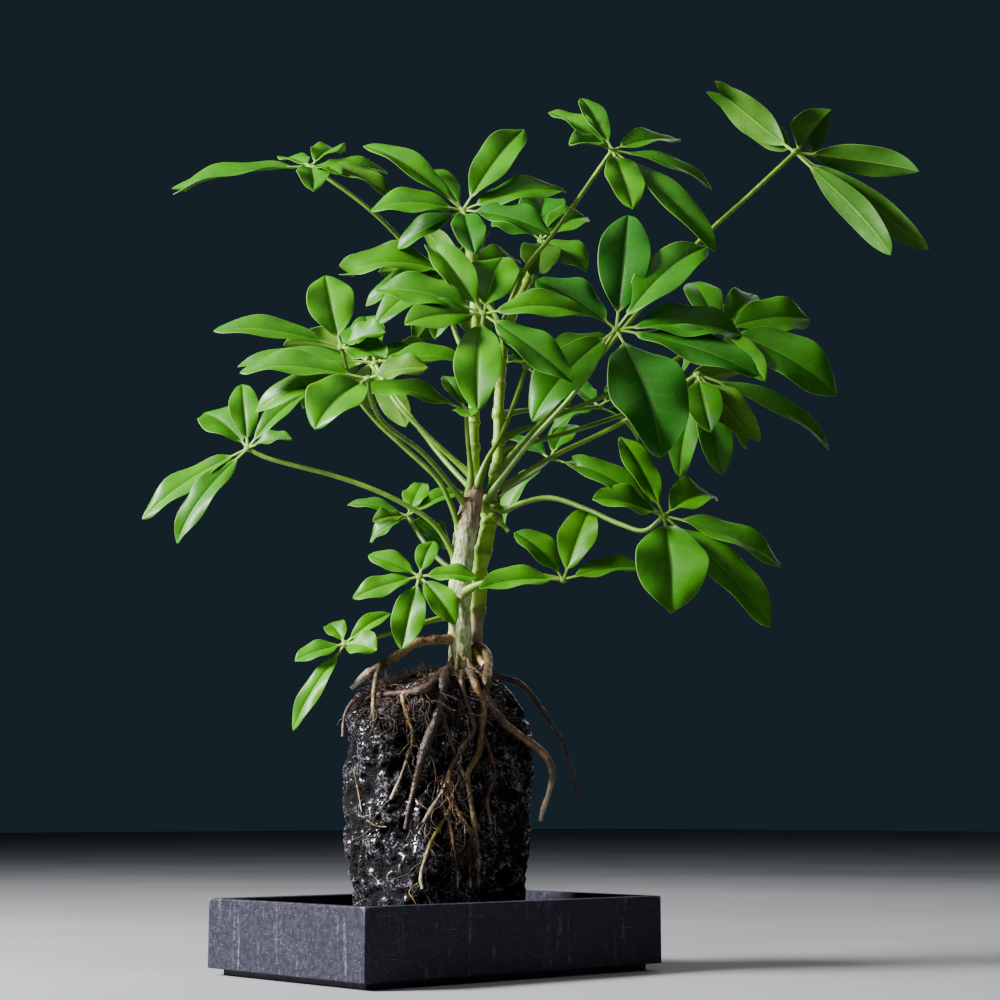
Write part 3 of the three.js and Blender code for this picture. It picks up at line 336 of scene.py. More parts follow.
def rock_reach(angle, height):
    """How far the rock reaches from its axis, in the frame's directions."""
    across = np.abs(np.cos(angle) / ROCK["half_length"]) ** ROCK["squareness"]
    along = np.abs(np.sin(angle) / ROCK["half_width"]) ** ROCK["squareness"]
    reach = (across + along) ** (-1 / ROCK["squareness"]) - ROCK["waste"]
    reach = reach - ROCK["undercut"] * np.exp(-(height - 8) / ROCK["foot_fade"])
    for size, turns, rise, phase in ROCK_WAVES:
        reach = reach + size * np.sin(turns * angle + height / rise + phase)
    for degrees, level, push, half, tall in ROCK_LUMPS:
        reach = reach + push * bell(degrees_past(angle, degrees), half) * bell(height - level, tall)
    edge = np.clip((height - rock_top(angle)) / ROCK["shoulder"] + 1, 0, 1)
    return reach * np.sqrt(1 - ROCK["taper"] * edge ** 2)


def crest_height(angle, share):
    """The height of the rock's top at a share of the way out to its edge."""
    return ROCK["crest"] + (rock_top(angle) - ROCK["crest"]) * share ** 2


def near_face_of_rock(x, height):
    """The plant y of the rock's near face at x and height."""
    y = np.arange(-60, 0, 0.25)
    across = x * math.cos(PLANT_TURN) - y * math.sin(PLANT_TURN)
    along = x * math.sin(PLANT_TURN) + y * math.cos(PLANT_TURN)
    angle = np.arctan2(along, across)
    inside = np.hypot(across, along) < rock_reach(angle, np.minimum(height, rock_top(angle)))
    return float(y[np.argmax(inside)]) if inside.any() else 0.0


def root_path(points):
    """A root's curve, with its three-number points laid on the rock."""
    laid = [p if len(p) == 4 else (p[0], near_face_of_rock(p[0], p[1]) - p[2] - CLEAR_OF_ROCK, p[1], p[2])
            for p in points]
    return smooth_path(laid)


# ---- Node helpers ----

FLOAT, VECTOR, GEOMETRY = "NodeSocketFloat", "NodeSocketVector", "NodeSocketGeometry"


class Nodes:
    """Adds nodes to one tree; its functions take values or sockets, and give a socket."""

    def __init__(self, tree):
        self.tree = tree

    def link(self, source, target):
        self.tree.links.new(source, target)

    def add(self, kind, inputs=None, **settings):
        """A node with its settings; an input is given a value, or a socket to link from."""
        made = self.tree.nodes.new(kind)
        for name, value in settings.items():
            setattr(made, name, value)
        for key, value in (inputs or {}).items():
            if isinstance(value, bpy.types.NodeSocket):
                self.link(value, made.inputs[key])
            else:
                made.inputs[key].default_value = value
        return made

    def math(self, operation, *values, clamp=False):
        made = self.add("ShaderNodeMath", dict(enumerate(values)), operation=operation, use_clamp=clamp)
        return made.outputs[0]

    def times(self, first, second):
        return self.math("MULTIPLY", first, second)

    def times_plus(self, first, second, third, clamp=False):
        return self.math("MULTIPLY_ADD", first, second, third, clamp=clamp)

    def mix(self, factor, first, second):
        """The first colour where the factor is 0, the second where it is 1."""
        first, second = (c if isinstance(c, bpy.types.NodeSocket) else (*c, 1.0) for c in (first, second))
        return self.add("ShaderNodeMix", {0: factor, 6: first, 7: second}, data_type="RGBA").outputs[2]

    def ramp(self, factor, low, high):
        """0 below low, 1 above high, smooth between."""
        inputs = {"Value": factor, "From Min": low, "From Max": high}
        return self.add("ShaderNodeMapRange", inputs, interpolation_type="SMOOTHSTEP").outputs["Result"]

    def between(self, factor, low, high):
        """Low where the factor is 0, high where it is 1."""
        inputs = {"Value": factor, "To Min": low, "To Max": high}
        return self.add("ShaderNodeMapRange", inputs).outputs["Result"]

    def noise(self, vector, scale, detail):
        inputs = {"Vector": vector, "Scale": scale, "Detail": detail}
        return self.add("ShaderNodeTexNoise", inputs).outputs["Fac"]


def node_group(kind, name, inputs, outputs):
    """An empty node group: its nodes, the sockets that it is given and those that it fills."""
    tree = bpy.data.node_groups.new(name, kind)
    for label, socket_kind, value in inputs:
        socket = tree.interface.new_socket(label, in_out="INPUT", socket_type=socket_kind)
        if value is not None:
            socket.default_value = value
    for label, socket_kind in outputs:
        tree.interface.new_socket(label, in_out="OUTPUT", socket_type=socket_kind)
    nodes = Nodes(tree)
    return nodes, nodes.add("NodeGroupInput").outputs, nodes.add("NodeGroupOutput").inputs


def grain_group():
    """Mottling at two scales, for colour and for height."""
    nodes, given, result = node_group(
        "ShaderNodeTree", "mottled_grain",
        [("Vector", VECTOR, None), ("Coarse Scale", FLOAT, 60.0), ("Fine Scale", FLOAT, 600.0),
         ("Fine Share", FLOAT, 0.4)],
        [("Mottle", FLOAT), ("Height", FLOAT)],
    )
    coarse = nodes.noise(given["Vector"], given["Coarse Scale"], 5.0)
    fine = nodes.noise(given["Vector"], given["Fine Scale"], 3.0)
    both = nodes.add("ShaderNodeMix", {0: given["Fine Share"], 2: coarse, 3: fine})
    nodes.link(nodes.ramp(coarse, 0.35, 0.68), result["Mottle"])
    nodes.link(both.outputs[0], result["Height"])
    return nodes.tree


def speckle_group():
    """Small spots, such as mineral specks or drops, as a mask."""
    nodes, given, result = node_group(
        "ShaderNodeTree", "speckles",
        [("Vector", VECTOR, None), ("Scale", FLOAT, 900.0), ("Size", FLOAT, 0.16), ("Amount", FLOAT, 0.5)],
        [("Mask", FLOAT)],
    )
    cells = nodes.add("ShaderNodeTexVoronoi", {"Vector": given["Vector"], "Scale": given["Scale"]}).outputs
    spots = nodes.math("LESS_THAN", cells["Distance"], given["Size"])
    chosen = nodes.add("ShaderNodeSeparateColor", {"Color": cells["Color"]}).outputs["Red"]
    some = nodes.math("LESS_THAN", chosen, given["Amount"])
    nodes.link(nodes.times(spots, some), result["Mask"])
    return nodes.tree


GRAIN = grain_group()
SPECKLES = speckle_group()


class Finish(Nodes):
    """A material on Object coordinates: its base colour gets coats of other tones, then it is closed."""

    def __init__(self, name, **constants):
        self.material = bpy.data.materials.new(name)
        self.material.use_nodes = True
        super().__init__(self.material.node_tree)
        self.shader = self.tree.nodes["Principled BSDF"].inputs
        for label, value in constants.items():
            self.shader[label.replace("_", " ")].default_value = value
        self.place = self.add("ShaderNodeTexCoord").outputs["Object"]
        self.base = None

    def group(self, tree, **values):
        inputs = {label.replace("_", " "): value for label, value in values.items()}
        return self.add("ShaderNodeGroup", {"Vector": self.place, **inputs}, node_tree=tree).outputs

    def grain(self, coarse, fine, share=0.4):
        made = self.group(GRAIN, Coarse_Scale=coarse, Fine_Scale=fine, Fine_Share=share)
        return made["Mottle"], made["Height"]

    def speckles(self, scale, size, amount):
        return self.group(SPECKLES, Scale=scale, Size=size, Amount=amount)["Mask"]

    def attribute(self, name):
        return self.add("ShaderNodeAttribute", attribute_name=name).outputs["Fac"]

    def level(self):
        """The height of each point above the floor, in metres."""
        return self.add("ShaderNodeSeparateXYZ", {"Vector": self.place}).outputs["Z"]

    def stretched_noise(self, scales, detail):
        """Noise with a scale of its own along each axis."""
        vector = self.add("ShaderNodeMapping", {"Vector": self.place, "Scale": scales}).outputs["Vector"]
        return self.noise(vector, 1.0, detail)

    def coat(self, mask, tone, share=1.0):
        """A tone over the base where the mask is, at a share of its strength."""
        self.base = self.mix(self.times(mask, share), self.base, tone)

    def close(self, rough=None, relief=None, strength=0.0, distance=0.0):
        """The finished material, with its roughness and its bump where it has them."""
        self.link(self.base, self.shader["Base Color"])
        if rough is not None:
            self.link(rough, self.shader["Roughness"])
        if relief is not None:
            made = self.add("ShaderNodeBump", {"Height": relief, "Strength": strength, "Distance": distance})
            self.link(made.outputs["Normal"], self.shader["Normal"])
        return self.material


# ---- Finishes ----


def leaf_material(name, under):
    """A waxy leaflet: mottled green, a thin pale margin painted as a highlight where its edge catches light,
    faint veins, and a paler, duller underside.
    """
    leaf = Finish(
        name, Subsurface_Weight=0.08, Subsurface_Scale=0.0009, Subsurface_Radius=(0.45, 1.0, 0.12),
        Specular_IOR_Level=0.1 if under else 0.16,
    )
    uv = leaf.add("ShaderNodeUVMap", uv_map="blade").outputs["UV"]
    split = leaf.add("ShaderNodeSeparateXYZ", {"Vector": uv}).outputs
    from_midrib, along = leaf.math("ABSOLUTE", leaf.times_plus(split["X"], 2.0, -1.0)), split["Y"]
    mottle, height = leaf.grain(100.0, 1100.0)
    young = (0.085, 0.20, 0.010) if under else (0.052, 0.220, 0.0)
    ripe = (0.028, 0.100, 0.006) if under else (0.010, 0.085, 0.003)
    # How dark each leaf's green is: partly its age, partly painted shade and light, set leaf by leaf.
    own_tint = leaf.math("SUBTRACT", leaf.attribute("tint"), 0.5)
    leaf_darkness = leaf.times_plus(own_tint, 0.5, leaf.attribute("ripeness_and_shade"), clamp=True)
    leaf.base = leaf.mix(leaf_darkness, young, ripe)
    leaf.coat(mottle, (0.008, 0.06, 0.003), 0.42)
    # Side veins leave the midrib at a slant and bend towards the tip.
    slant = leaf.times_plus(from_midrib, -VEIN_SLANT, along)
    wobble = leaf.times_plus(mottle, 0.012, slant)
    wave = leaf.math("SINE", leaf.times(wobble, 2 * math.pi * VEIN_PAIRS))
    side_vein = leaf.times(leaf.ramp(wave, 0.9, 1.0), leaf.ramp(from_midrib, 0.9, 0.1))
    midrib = leaf.ramp(from_midrib, 0.05, 0.01)
    # Painted highlight: a thin pale line along the margin, where the edge catches light.
    margin = leaf.ramp(from_midrib, 0.965, 0.995)
    foot = leaf.ramp(along, 0.19, 0.11)
    pale = (0.24, 0.42, 0.06)
    leaf.coat(side_vein, pale, 0.05 if under else 0.04)
    leaf.coat(midrib, pale, 0.3 if under else 0.13)
    leaf.coat(margin, (0.26, 0.44, 0.08), 0.35)
    leaf.coat(foot, pale, 0.85)
    leaf.coat(leaf.speckles(1300.0, 0.16, 0.12), (0.45, 0.50, 0.30), 0.22)
    quilt = leaf.noise(leaf.place, 210.0, 2.0)
    relief = leaf.times_plus(quilt, 1.6, leaf.times(height, 0.35))
    relief = leaf.times_plus(side_vein, -0.25, relief)
    relief = leaf.times_plus(midrib, 0.6 if under else -0.6, relief)
    glossiest, dullest = (0.5, 0.65) if under else (0.34, 0.5)
    return leaf.close(leaf.between(mottle, glossiest, dullest), relief, 0.3, 0.0003)


def stalk_material():
    """A smooth fleshy leaf stalk, with faint flecks and a browner foot."""
    stalk = Finish("leaf_stalk_skin", Subsurface_Weight=0.08, Subsurface_Scale=0.001)
    mottle, height = stalk.grain(150.0, 1400.0)
    stalk.base = stalk.mix(mottle, (0.070, 0.185, 0.002), (0.14, 0.28, 0.008))
    stalk.coat(stalk.ramp(stalk.attribute("along"), 0.1, 0.0), (0.13, 0.21, 0.02))
    stalk.coat(stalk.speckles(700.0, 0.2, 0.3), (0.30, 0.40, 0.12), 0.15)
    return stalk.close(stalk.between(mottle, 0.36, 0.5), height, 0.2, 0.0002)


def green_stem_material():
    """A young stem that turns from brown bark at its foot to green, with ringed scars and lenticels."""
    stem = Finish("green_stem_skin", Subsurface_Weight=0.05, Subsurface_Scale=0.001)
    mottle, height = stem.grain(120.0, 900.0)
    green = stem.mix(mottle, (0.17, 0.35, 0.008), (0.28, 0.47, 0.035))
    brown = stem.mix(mottle, (0.085, 0.055, 0.02), (0.22, 0.16, 0.075))
    wander = stem.times_plus(height, 0.012, stem.level())
    stem.base = stem.mix(stem.ramp(wander, 0.162, 0.176), brown, green)
    stem.coat(stem.attribute("ring"), (0.085, 0.115, 0.02), 0.55)
    flecks = stem.speckles(480.0, 0.22, 0.4)
    stem.coat(flecks, (0.28, 0.34, 0.10), 0.2)
    return stem.close(stem.between(mottle, 0.42, 0.62), stem.times_plus(flecks, 0.3, height), 0.4, 0.0005)


def bark_material():
    """Grey-green bark with pale streaks and cracks up it, and a pinkish-brown cut at the top."""
    bark = Finish("trunk_bark", Specular_IOR_Level=0.3)
    mottle, height = bark.grain(140.0, 900.0, 0.5)
    streaks = bark.stretched_noise((900, 900, 130), 6.0)
    crack, streak = bark.ramp(streaks, 0.47, 0.36), bark.ramp(streaks, 0.54, 0.66)
    level = bark.level()
    low = bark.mix(mottle, (0.34, 0.43, 0.13), (0.68, 0.76, 0.40))
    high = bark.mix(mottle, (0.20, 0.14, 0.08), (0.44, 0.34, 0.22))
    bark.base = bark.mix(bark.ramp(bark.times_plus(height, 0.014, level), 0.199, 0.213), low, high)
    bark.coat(streak, (0.66, 0.73, 0.42), 0.65)
    bark.coat(crack, (0.07, 0.06, 0.02), 0.55)
    bark.coat(bark.attribute("ring"), (0.15, 0.11, 0.06), 0.45)
    cut = bark.ramp(bark.times_plus(height, 0.006, level), 0.211, 0.2175)
    bark.coat(cut, (0.40, 0.22, 0.15), 0.8)
    relief = bark.times_plus(crack, -0.9, bark.times_plus(streak, 0.4, height))
    return bark.close(bark.between(mottle, 0.6, 0.85), relief, 0.9, 0.0010)


def root_material():
    """Damp root skin, olive to red, from near black to pale, with flakes and dirt, and a paler tip."""
    root = Finish("root_skin", Specular_IOR_Level=0.4)
    mottle, height = root.grain(160.0, 1100.0, 0.5)
    pale, red = root.attribute("pale"), root.attribute("red")
    olive_brown = root.mix(root.ramp(red, 0.0, 0.55), (0.06, 0.042, 0.007), (0.026, 0.013, 0.009))
    dark = root.mix(root.ramp(red, 0.5, 1.0), olive_brown, (0.085, 0.018, 0.009))
    light = root.mix(red, (0.34, 0.23, 0.02), (0.40, 0.21, 0.11))
    root.base = root.mix(pale, dark, light)
    root.coat(root.ramp(height, 0.47, 0.55), (0.03, 0.018, 0.011), 0.7)
    root.coat(mottle, (0.022, 0.011, 0.007), root.times_plus(pale, -0.35, 0.75))
    tip = root.ramp(root.attribute("along"), 0.72, 0.97)
    root.coat(tip, (0.68, 0.62, 0.47), root.times(pale, 0.8))
    dirt = root.ramp(root.noise(root.place, 75.0, 4.0), 0.46, 0.62)
    root.coat(dirt, (0.018, 0.011, 0.008), 0.7)
    return root.close(root.between(mottle, 0.26, 0.6), height, 1.0, 0.0012)


def lava_material():
    """Wet black lava: pores, small wet glints, pale grains painted on its crests as highlights, and brown
    dust on its top.
    """
    lava = Finish("wet_lava", Specular_IOR_Level=0.1, Coat_Roughness=0.18)
    mottle, _ = lava.grain(260.0, 1700.0, 0.6)
    crest = lava.attribute("crest")
    foil = lava.noise(lava.place, 900.0, 4.0)
    lava.base = lava.mix(mottle, (0.0015, 0.0015, 0.0018), (0.006, 0.0058, 0.007))
    # Painted highlights: pale grains on the crests, in patches, standing in for glints of light on the wet
    # rock.
    lava.coat(lava.ramp(crest, 0.3, 0.75), (0.17, 0.16, 0.20), lava.ramp(foil, 0.5, 0.62))
    top = lava.ramp(lava.times_plus(mottle, 0.010, lava.level()), 0.122, 0.136)
    lava.coat(top, (0.03, 0.019, 0.012), 0.85)
    lava.coat(lava.speckles(900.0, 0.22, 0.08), (0.26, 0.26, 0.26), 0.5)
    # Wet only where it stands out, and there only in patches.
    wet = lava.times(lava.ramp(crest, 0.2, 0.6), lava.ramp(foil, 0.42, 0.56))
    lava.link(wet, lava.shader["Coat Weight"])
    pores = lava.add("ShaderNodeTexVoronoi", {"Vector": lava.place, "Scale": 950.0}).outputs["Distance"]
    relief = lava.times_plus(lava.ramp(pores, 0.0, 0.45), 0.4, foil)
    return lava.close(lava.between(mottle, 0.6, 0.95), relief, 1.0, 0.0022)


def tray_material():
    """Unglazed dark clay: fine specks, dried run marks, scratches, drops of water, and a paler rim and
    corners, partly wear and partly a painted highlight.
    """
    clay = Finish("dark_clay", Specular_IOR_Level=0.16)
    mottle, height = clay.grain(420.0, 1700.0, 0.55)
    clay.base = clay.mix(mottle, (0.014, 0.0135, 0.021), (0.024, 0.022, 0.036))
    specks = clay.speckles(1000.0, 0.16, 0.26)
    clay.coat(specks, (0.28, 0.27, 0.35), 0.6)
    # Dried water runs down the walls: narrow in plan, long in height.
    runs = clay.stretched_noise((330, 330, 26), 5.0)
    lime = clay.times(clay.ramp(runs, 0.58, 0.72), clay.ramp(height, 0.42, 0.6))
    clay.coat(lime, (0.25, 0.24, 0.31), 0.4)
    scratch = clay.ramp(clay.stretched_noise((60, 60, 1500), 2.0), 0.70, 0.76)
    clay.coat(scratch, (0.16, 0.16, 0.20), 0.35)
    # Paler rim and corners: partly wear, partly a painted highlight along the rim where it catches light.
    rim_wear_and_highlight = clay.ramp(clay.times_plus(height, 0.3, clay.attribute("edge")), 0.95, 1.2)
    clay.coat(rim_wear_and_highlight, (0.22, 0.21, 0.26), 0.55)
    drops = clay.speckles(240.0, 0.2, 0.1)
    rough = clay.times_plus(lime, 0.25, clay.between(mottle, 0.4, 0.6))
    rough = clay.times_plus(drops, -0.34, rough, clamp=True)
    relief = clay.times_plus(drops, 1.4, clay.times_plus(specks, 0.5, height))
    return clay.close(rough, relief, 0.5, 0.0006)


def felt_material():
    """The mat of dead root fibres on the rock's top, with a trace of moss."""
    felt = Finish("root_felt_fibres", Specular_IOR_Level=0.2)
    mottle, _ = felt.grain(130.0, 1200.0)
    dark = felt.mix(felt.attribute("red"), (0.014, 0.010, 0.007), (0.055, 0.016, 0.010))
    felt.base = felt.mix(felt.attribute("pale"), dark, (0.085, 0.05, 0.025))
    felt.coat(mottle, (0.03, 0.03, 0.012), 0.4)
    return felt.close(felt.between(mottle, 0.65, 0.9))


LEAF_UPPER = leaf_material("leaf_upper_face", under=False)
LEAF_UNDER = leaf_material("leaf_under_face", under=True)
STALK_SKIN = stalk_material()
GREEN_SKIN = green_stem_material()
BARK = bark_material()
ROOT_SKIN = root_material()
LAVA = lava_material()
CLAY = tray_material()
FELT = felt_material()

# ---- Meshes ----


def new_object(name, data):
    made = bpy.data.objects.new(name, data)
    bpy.context.scene.collection.objects.link(made)
    return made


def mesh_of(name, shell):
    """The mesh of a bmesh, which is then freed."""
    mesh = bpy.data.meshes.new(name)
    shell.to_mesh(mesh)
    shell.free()
    return mesh


def get_points(mesh):
    flat = np.empty(len(mesh.vertices) * 3, dtype=np.float32)
    mesh.vertices.foreach_get("co", flat)
    return flat.reshape(-1, 3).astype(float)


def set_points(mesh, points):
    mesh.vertices.foreach_set("co", points.astype(np.float32).ravel())


def set_floats(mesh, name, values):
    """One value for the whole mesh, or one for each of its points."""
    layer = mesh.attributes.get(name) or mesh.attributes.new(name, "FLOAT", "POINT")
    layer.data.foreach_set("value", np.full(len(mesh.vertices), values, np.float32))


def shade_smooth(mesh):
    mesh.polygons.foreach_set("use_smooth", [True] * len(mesh.polygons))


def finish_piece(piece, slot, *nodes):
    """Puts the piece under the root body and hides the solids that it stands in for; the slot is not used."""
    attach(piece, "root")
    if nodes:
        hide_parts(*nodes)


# ---- Stems by geometry nodes ----


def stem_tree():
    """A round stem along each curve: knobbly, wrinkled and, where wanted, ringed with scars."""
    nodes, given, result = node_group(
        "GeometryNodeTree", "stem_along_a_path",
        [("Geometry", GEOMETRY, None), ("Step", FLOAT, 0.0012), ("Sides", "NodeSocketInt", 14),
         ("Knobbliness", FLOAT, 0.08), ("Wrinkle Depth", FLOAT, 0.00012), ("Wrinkle Scale", FLOAT, 600.0),
         ("Ring Spacing", FLOAT, 0.012), ("Ring Height", FLOAT, 0.0),
         ("Material", "NodeSocketMaterial", None)],
        [("Geometry", GEOMETRY)],
    )
    spline = nodes.add("GeometryNodeSplineParameter").outputs
    place = nodes.add("GeometryNodeInputPosition").outputs[0]
    radius = nodes.add("GeometryNodeInputRadius").outputs[0]
    inputs = {"Curve": given["Geometry"], "Length": given["Step"]}
    dots = nodes.add("GeometryNodeResampleCurve", inputs, mode="LENGTH").outputs["Curve"]
    lumps = nodes.noise(place, 170.0, 2.0)
    knob = nodes.times(nodes.math("SUBTRACT", lumps, 0.5), given["Knobbliness"])
    turn = nodes.math("DIVIDE", spline["Length"], given["Ring Spacing"])
    wave = nodes.math("COSINE", nodes.times(nodes.times_plus(lumps, 0.9, turn), 2 * math.pi))
    ring, swelling = nodes.ramp(wave, 0.9, 0.995), nodes.ramp(wave, 0.1, 1.0)
    rise = nodes.times(swelling, given["Ring Height"])
    wide = nodes.times_plus(radius, nodes.times_plus(knob, 2.0, 1.0), rise)
    curve = nodes.add("GeometryNodeSetCurveRadius", {"Curve": dots, "Radius": wide}).outputs[0]
    for name, value in (("along", spline["Factor"]), ("ring", ring)):
        inputs = {"Geometry": curve, "Name": name, "Value": value}
        curve = nodes.add("GeometryNodeStoreNamedAttribute", inputs).outputs[0]
    circle = nodes.add("GeometryNodeCurvePrimitiveCircle", {"Resolution": given["Sides"], "Radius": 1.0})
    tube = nodes.add("GeometryNodeCurveToMesh", {
        "Curve": curve, "Profile Curve": circle.outputs["Curve"], "Fill Caps": True, "Scale": radius,
    })
    fine = nodes.noise(place, given["Wrinkle Scale"], 3.0)
    depth = nodes.times(nodes.math("SUBTRACT", fine, 0.5), nodes.times(given["Wrinkle Depth"], 2.0))
    normal = nodes.add("GeometryNodeInputNormal").outputs[0]
    offset = nodes.add("ShaderNodeVectorMath", {0: normal, "Scale": depth}, operation="SCALE").outputs[0]
    shape = tube.outputs["Mesh"]
    for kind, extra in (
        ("GeometryNodeSetPosition", {"Offset": offset}),
        ("GeometryNodeRealizeInstances", {}),
        ("GeometryNodeSetShadeSmooth", {}),
        ("GeometryNodeSetMaterial", {"Material": given["Material"]}),
    ):
        shape = nodes.add(kind, {"Geometry": shape, **extra}).outputs[0]
    nodes.link(shape, result["Geometry"])
    return nodes.tree


STEM_TREE = stem_tree()


def run_tree(source, tree, name, **values):
    """The plain mesh that the tree makes of the object, which is then removed."""
    modifier = source.modifiers.new("shape", "NODES")
    modifier.node_group = tree
    for item in tree.interface.items_tree:
        key = item.name.replace(" ", "_")
        if item.in_out == "INPUT" and key in values:
            modifier[item.identifier] = values[key]
    source.update_tag()
    graph = bpy.context.evaluated_depsgraph_get()
    mesh = bpy.data.meshes.new_from_object(
        source.evaluated_get(graph), preserve_all_data_layers=True, depsgraph=graph,
    )
    mesh.name = name
    source.modifiers.clear()
    bpy.data.objects.remove(source)
    return new_object(name, mesh)


def curve_object(name, paths):
    """One curve object with a poly spline for each path of (x, y, z, radius) in plant millimetres."""
    data = bpy.data.curves.new(name, "CURVE")
    data.dimensions = "3D"
    for path in paths:
        spline = data.splines.new("POLY")
        spline.points.add(len(path) - 1)
        places = to_frame([p[:3] for p in path])
        spline.points.foreach_set("co", np.hstack([places, np.ones((len(path), 1))]).ravel())
        spline.points.foreach_set("radius", [p[3] * MM for p in path])
    return new_object(name, data)


def stems(name, paths, skin, **values):
    """Stems along the paths as one plain mesh object; the values are the tree's named inputs."""
    return run_tree(curve_object(name + "_path", paths), STEM_TREE, name, Material=skin, **values)


def tinted(piece, pale, red):
    """The piece, with how pale and how red its skin is."""
    set_floats(piece.data, "pale", pale)
    set_floats(piece.data, "red", red)
    return piece


def joined(name, pieces):
    """One mesh object of several."""
    whole = bmesh.new()
    for piece in pieces:
        whole.from_mesh(piece.data)
    mesh = mesh_of(name, whole)
    mesh.materials.append(pieces[0].data.materials[0])
    for piece in pieces:
        bpy.data.objects.remove(piece)
    return new_object(name, mesh)


# ---- Leaflets ----

BLADE_ROWS = 30
STEM_ROWS = 5
# Shares of the half width, close together at the midrib and at the margin so that both stay crisp.
HALF_COLUMNS = (0.06, 0.2, 0.38, 0.56, 0.72, 0.86, 0.965, 1.0)
COLUMNS = [*(-q for q in reversed(HALF_COLUMNS)), 0.0, *HALF_COLUMNS]
NOTCH_START = 0.84


def blade_width_share(s):
    """The blade's width at a share of its length, against the widest place."""
    s = min(max(s, 1e-4), 1 - 1e-4)
    return (s / 0.52) ** 0.8 * ((1 - s) / 0.48) ** 0.74


def leaflet_grid(row, facing, seed):
    """Points of the upper and the lower face of one leaflet, with its UVs."""
    *tip, width, notch = (*row, 0)[:5]
    length = np.linalg.norm(np.array(tip, dtype=float))
    forward = np.array(tip, dtype=float) / length
    flat_up = facing - facing.dot(forward) * forward
    flat_up /= np.linalg.norm(flat_up)
    flat_side = np.cross(flat_up, forward)
    fold = LEAF["least_fold"] + LEAF["fold_range"] * vary(seed)
    bow = (LEAF["least_bow"] + LEAF["bow_range"] * vary(seed + 0.5)) * length
    phase = 6.3 * vary(seed + 0.25)
    twist = LEAF["twist"] * (2 * vary(seed + 0.6) - 1)
    ripple = LEAF["least_ripple"] + LEAF["ripple_range"] * vary(seed + 0.35)
    swing = LEAF["swing"] * length * (2 * vary(seed + 0.9) - 1)
    bare = LEAF["petiolule_share"]
    start = 0.5 * LEAF["hub"] / length
    blade = 0.5 - 0.5 * np.cos(np.linspace(0.12, math.pi, BLADE_ROWS))
    shares = np.concatenate([np.linspace(start, bare, STEM_ROWS, endpoint=False), bare + blade * (1 - bare)])
    upper, lower, uvs = [], [], []
    for share in shares:
        s = min(max((share - bare) / (1 - bare), 0.0), 1.0)
        wide = blade_width_share(s)
        if notch and s > NOTCH_START:
            lobe = math.sqrt(max(1 - ((s - NOTCH_START) / 0.17) ** 2, 0.0))
            wide = max(wide, blade_width_share(NOTCH_START) * (0.35 + 0.65 * lobe))
        half = max(wide * width / 2, LEAF["petiolule"] * (1 if s < 0.3 else 0.12))
        # How far the cross-section is a blade's and no longer the round petiolule's.
        leafy = min(max((half - LEAF["petiolule"]) / 2.5, 0.0), 1.0)
        arch = bow * 4 * share * (1 - share) * (0.7 + 0.6 * share)
        turn = twist * (share - 0.3)
        up = flat_up * math.cos(turn) + flat_side * math.sin(turn)
        side = flat_side * math.cos(turn) - flat_up * math.sin(turn)
        for q in COLUMNS:
            a = abs(q)
            crinkle = math.sin(2 * math.pi * 1.9 * s + phase + (1.4 if q > 0 else 0))
            waves = 0.2 * half * a * (1 - a) + ripple * width * a * a * crinkle
            rise = arch + fold * half * a + leafy * waves
            groove = 0.2 * leafy * math.exp(-((half * a / 0.5) ** 2))
            wave = math.cos(2 * math.pi * VEIN_PAIRS * (share - VEIN_SLANT * a))
            vein = 0.035 * leafy * a * (1 - a) * wave
            back = notch * length * (1 - a) ** 1.2 * max((s - 0.62) / 0.38, 0) ** 2
            sideways = -q * half + swing * math.sin(math.pi * share)
            centre = forward * (length * share - back) + side * sideways + up * (rise - groove + vein)
            thick = 0.5 * math.sqrt(max(1 - a * a, 0.02)) * (1 - leafy) + leafy * (0.22 - 0.12 * a ** 4)
            ridge = 0.28 * leafy * math.exp(-((half * a / 0.45) ** 2))
            upper.append(centre + up * thick)
            lower.append(centre - up * (thick + ridge - groove))
            uvs.append(((q + 1) / 2, share))
    return np.array(upper), np.array(lower), np.array(uvs), len(shares)


def hub_points(up, radius, rings=7, sides=14):
    """A swollen disc round the origin, flatter along up."""
    first = np.cross(up, (0.3, 0.9, 0.1))
    first /= np.linalg.norm(first)
    second = np.cross(up, first)
    half_height = radius * LEAF["hub_flatness"]
    points = [up * half_height]
    for ring in range(1, rings):
        polar = math.pi * ring / rings
        for side in range(sides):
            angle = 2 * math.pi * side / sides
            flat = math.sin(polar) * radius * (1 + 0.06 * math.sin(5 * angle + 2 * polar))
            across = first * flat * math.cos(angle) + second * flat * math.sin(angle)
            points.append(across + up * half_height * math.cos(polar))
    points.append(-up * half_height)
    faces = [(0, 1 + s, 1 + (s + 1) % sides) for s in range(sides)]
    for ring in range(rings - 2):
        low = 1 + ring * sides
        for s in range(sides):
            nxt = (s + 1) % sides
            faces.append((low + s, low + sides + s, low + sides + nxt, low + nxt))
    last = len(points) - 1
    base = last - sides
    faces += [(base + s, last, base + (s + 1) % sides) for s in range(sides)]
    return np.array(points), faces


def leaflet_faces(rows, turned):
    """The faces of a leaflet's grid, closed round its rim, and which of the leaf's skins each has."""
    columns = len(COLUMNS)
    under = rows * columns
    top, below = (1, 0) if turned else (0, 1)
    quads, skins = [], []
    for r in range(rows - 1):
        for c in range(columns - 1):
            a = r * columns + c
            quads.append((a, a + columns, a + columns + 1, a + 1))
            quads.append((under + a, under + a + 1, under + a + columns + 1, under + a + columns))
            skins += [top, below]
        for c, flip in ((0, False), (columns - 1, True)):
            a = r * columns + c
            rim = (a, under + a, under + a + columns, a + columns)
            quads.append(rim[::-1] if flip else rim)
            skins.append(0)
    for r, flip in ((0, True), (rows - 1, False)):
        for c in range(columns - 1):
            a = r * columns + c
            end = (a, under + a, under + a + 1, a + 1)
            quads.append(end if flip else end[::-1])
            skins.append(0)
    return quads, skins


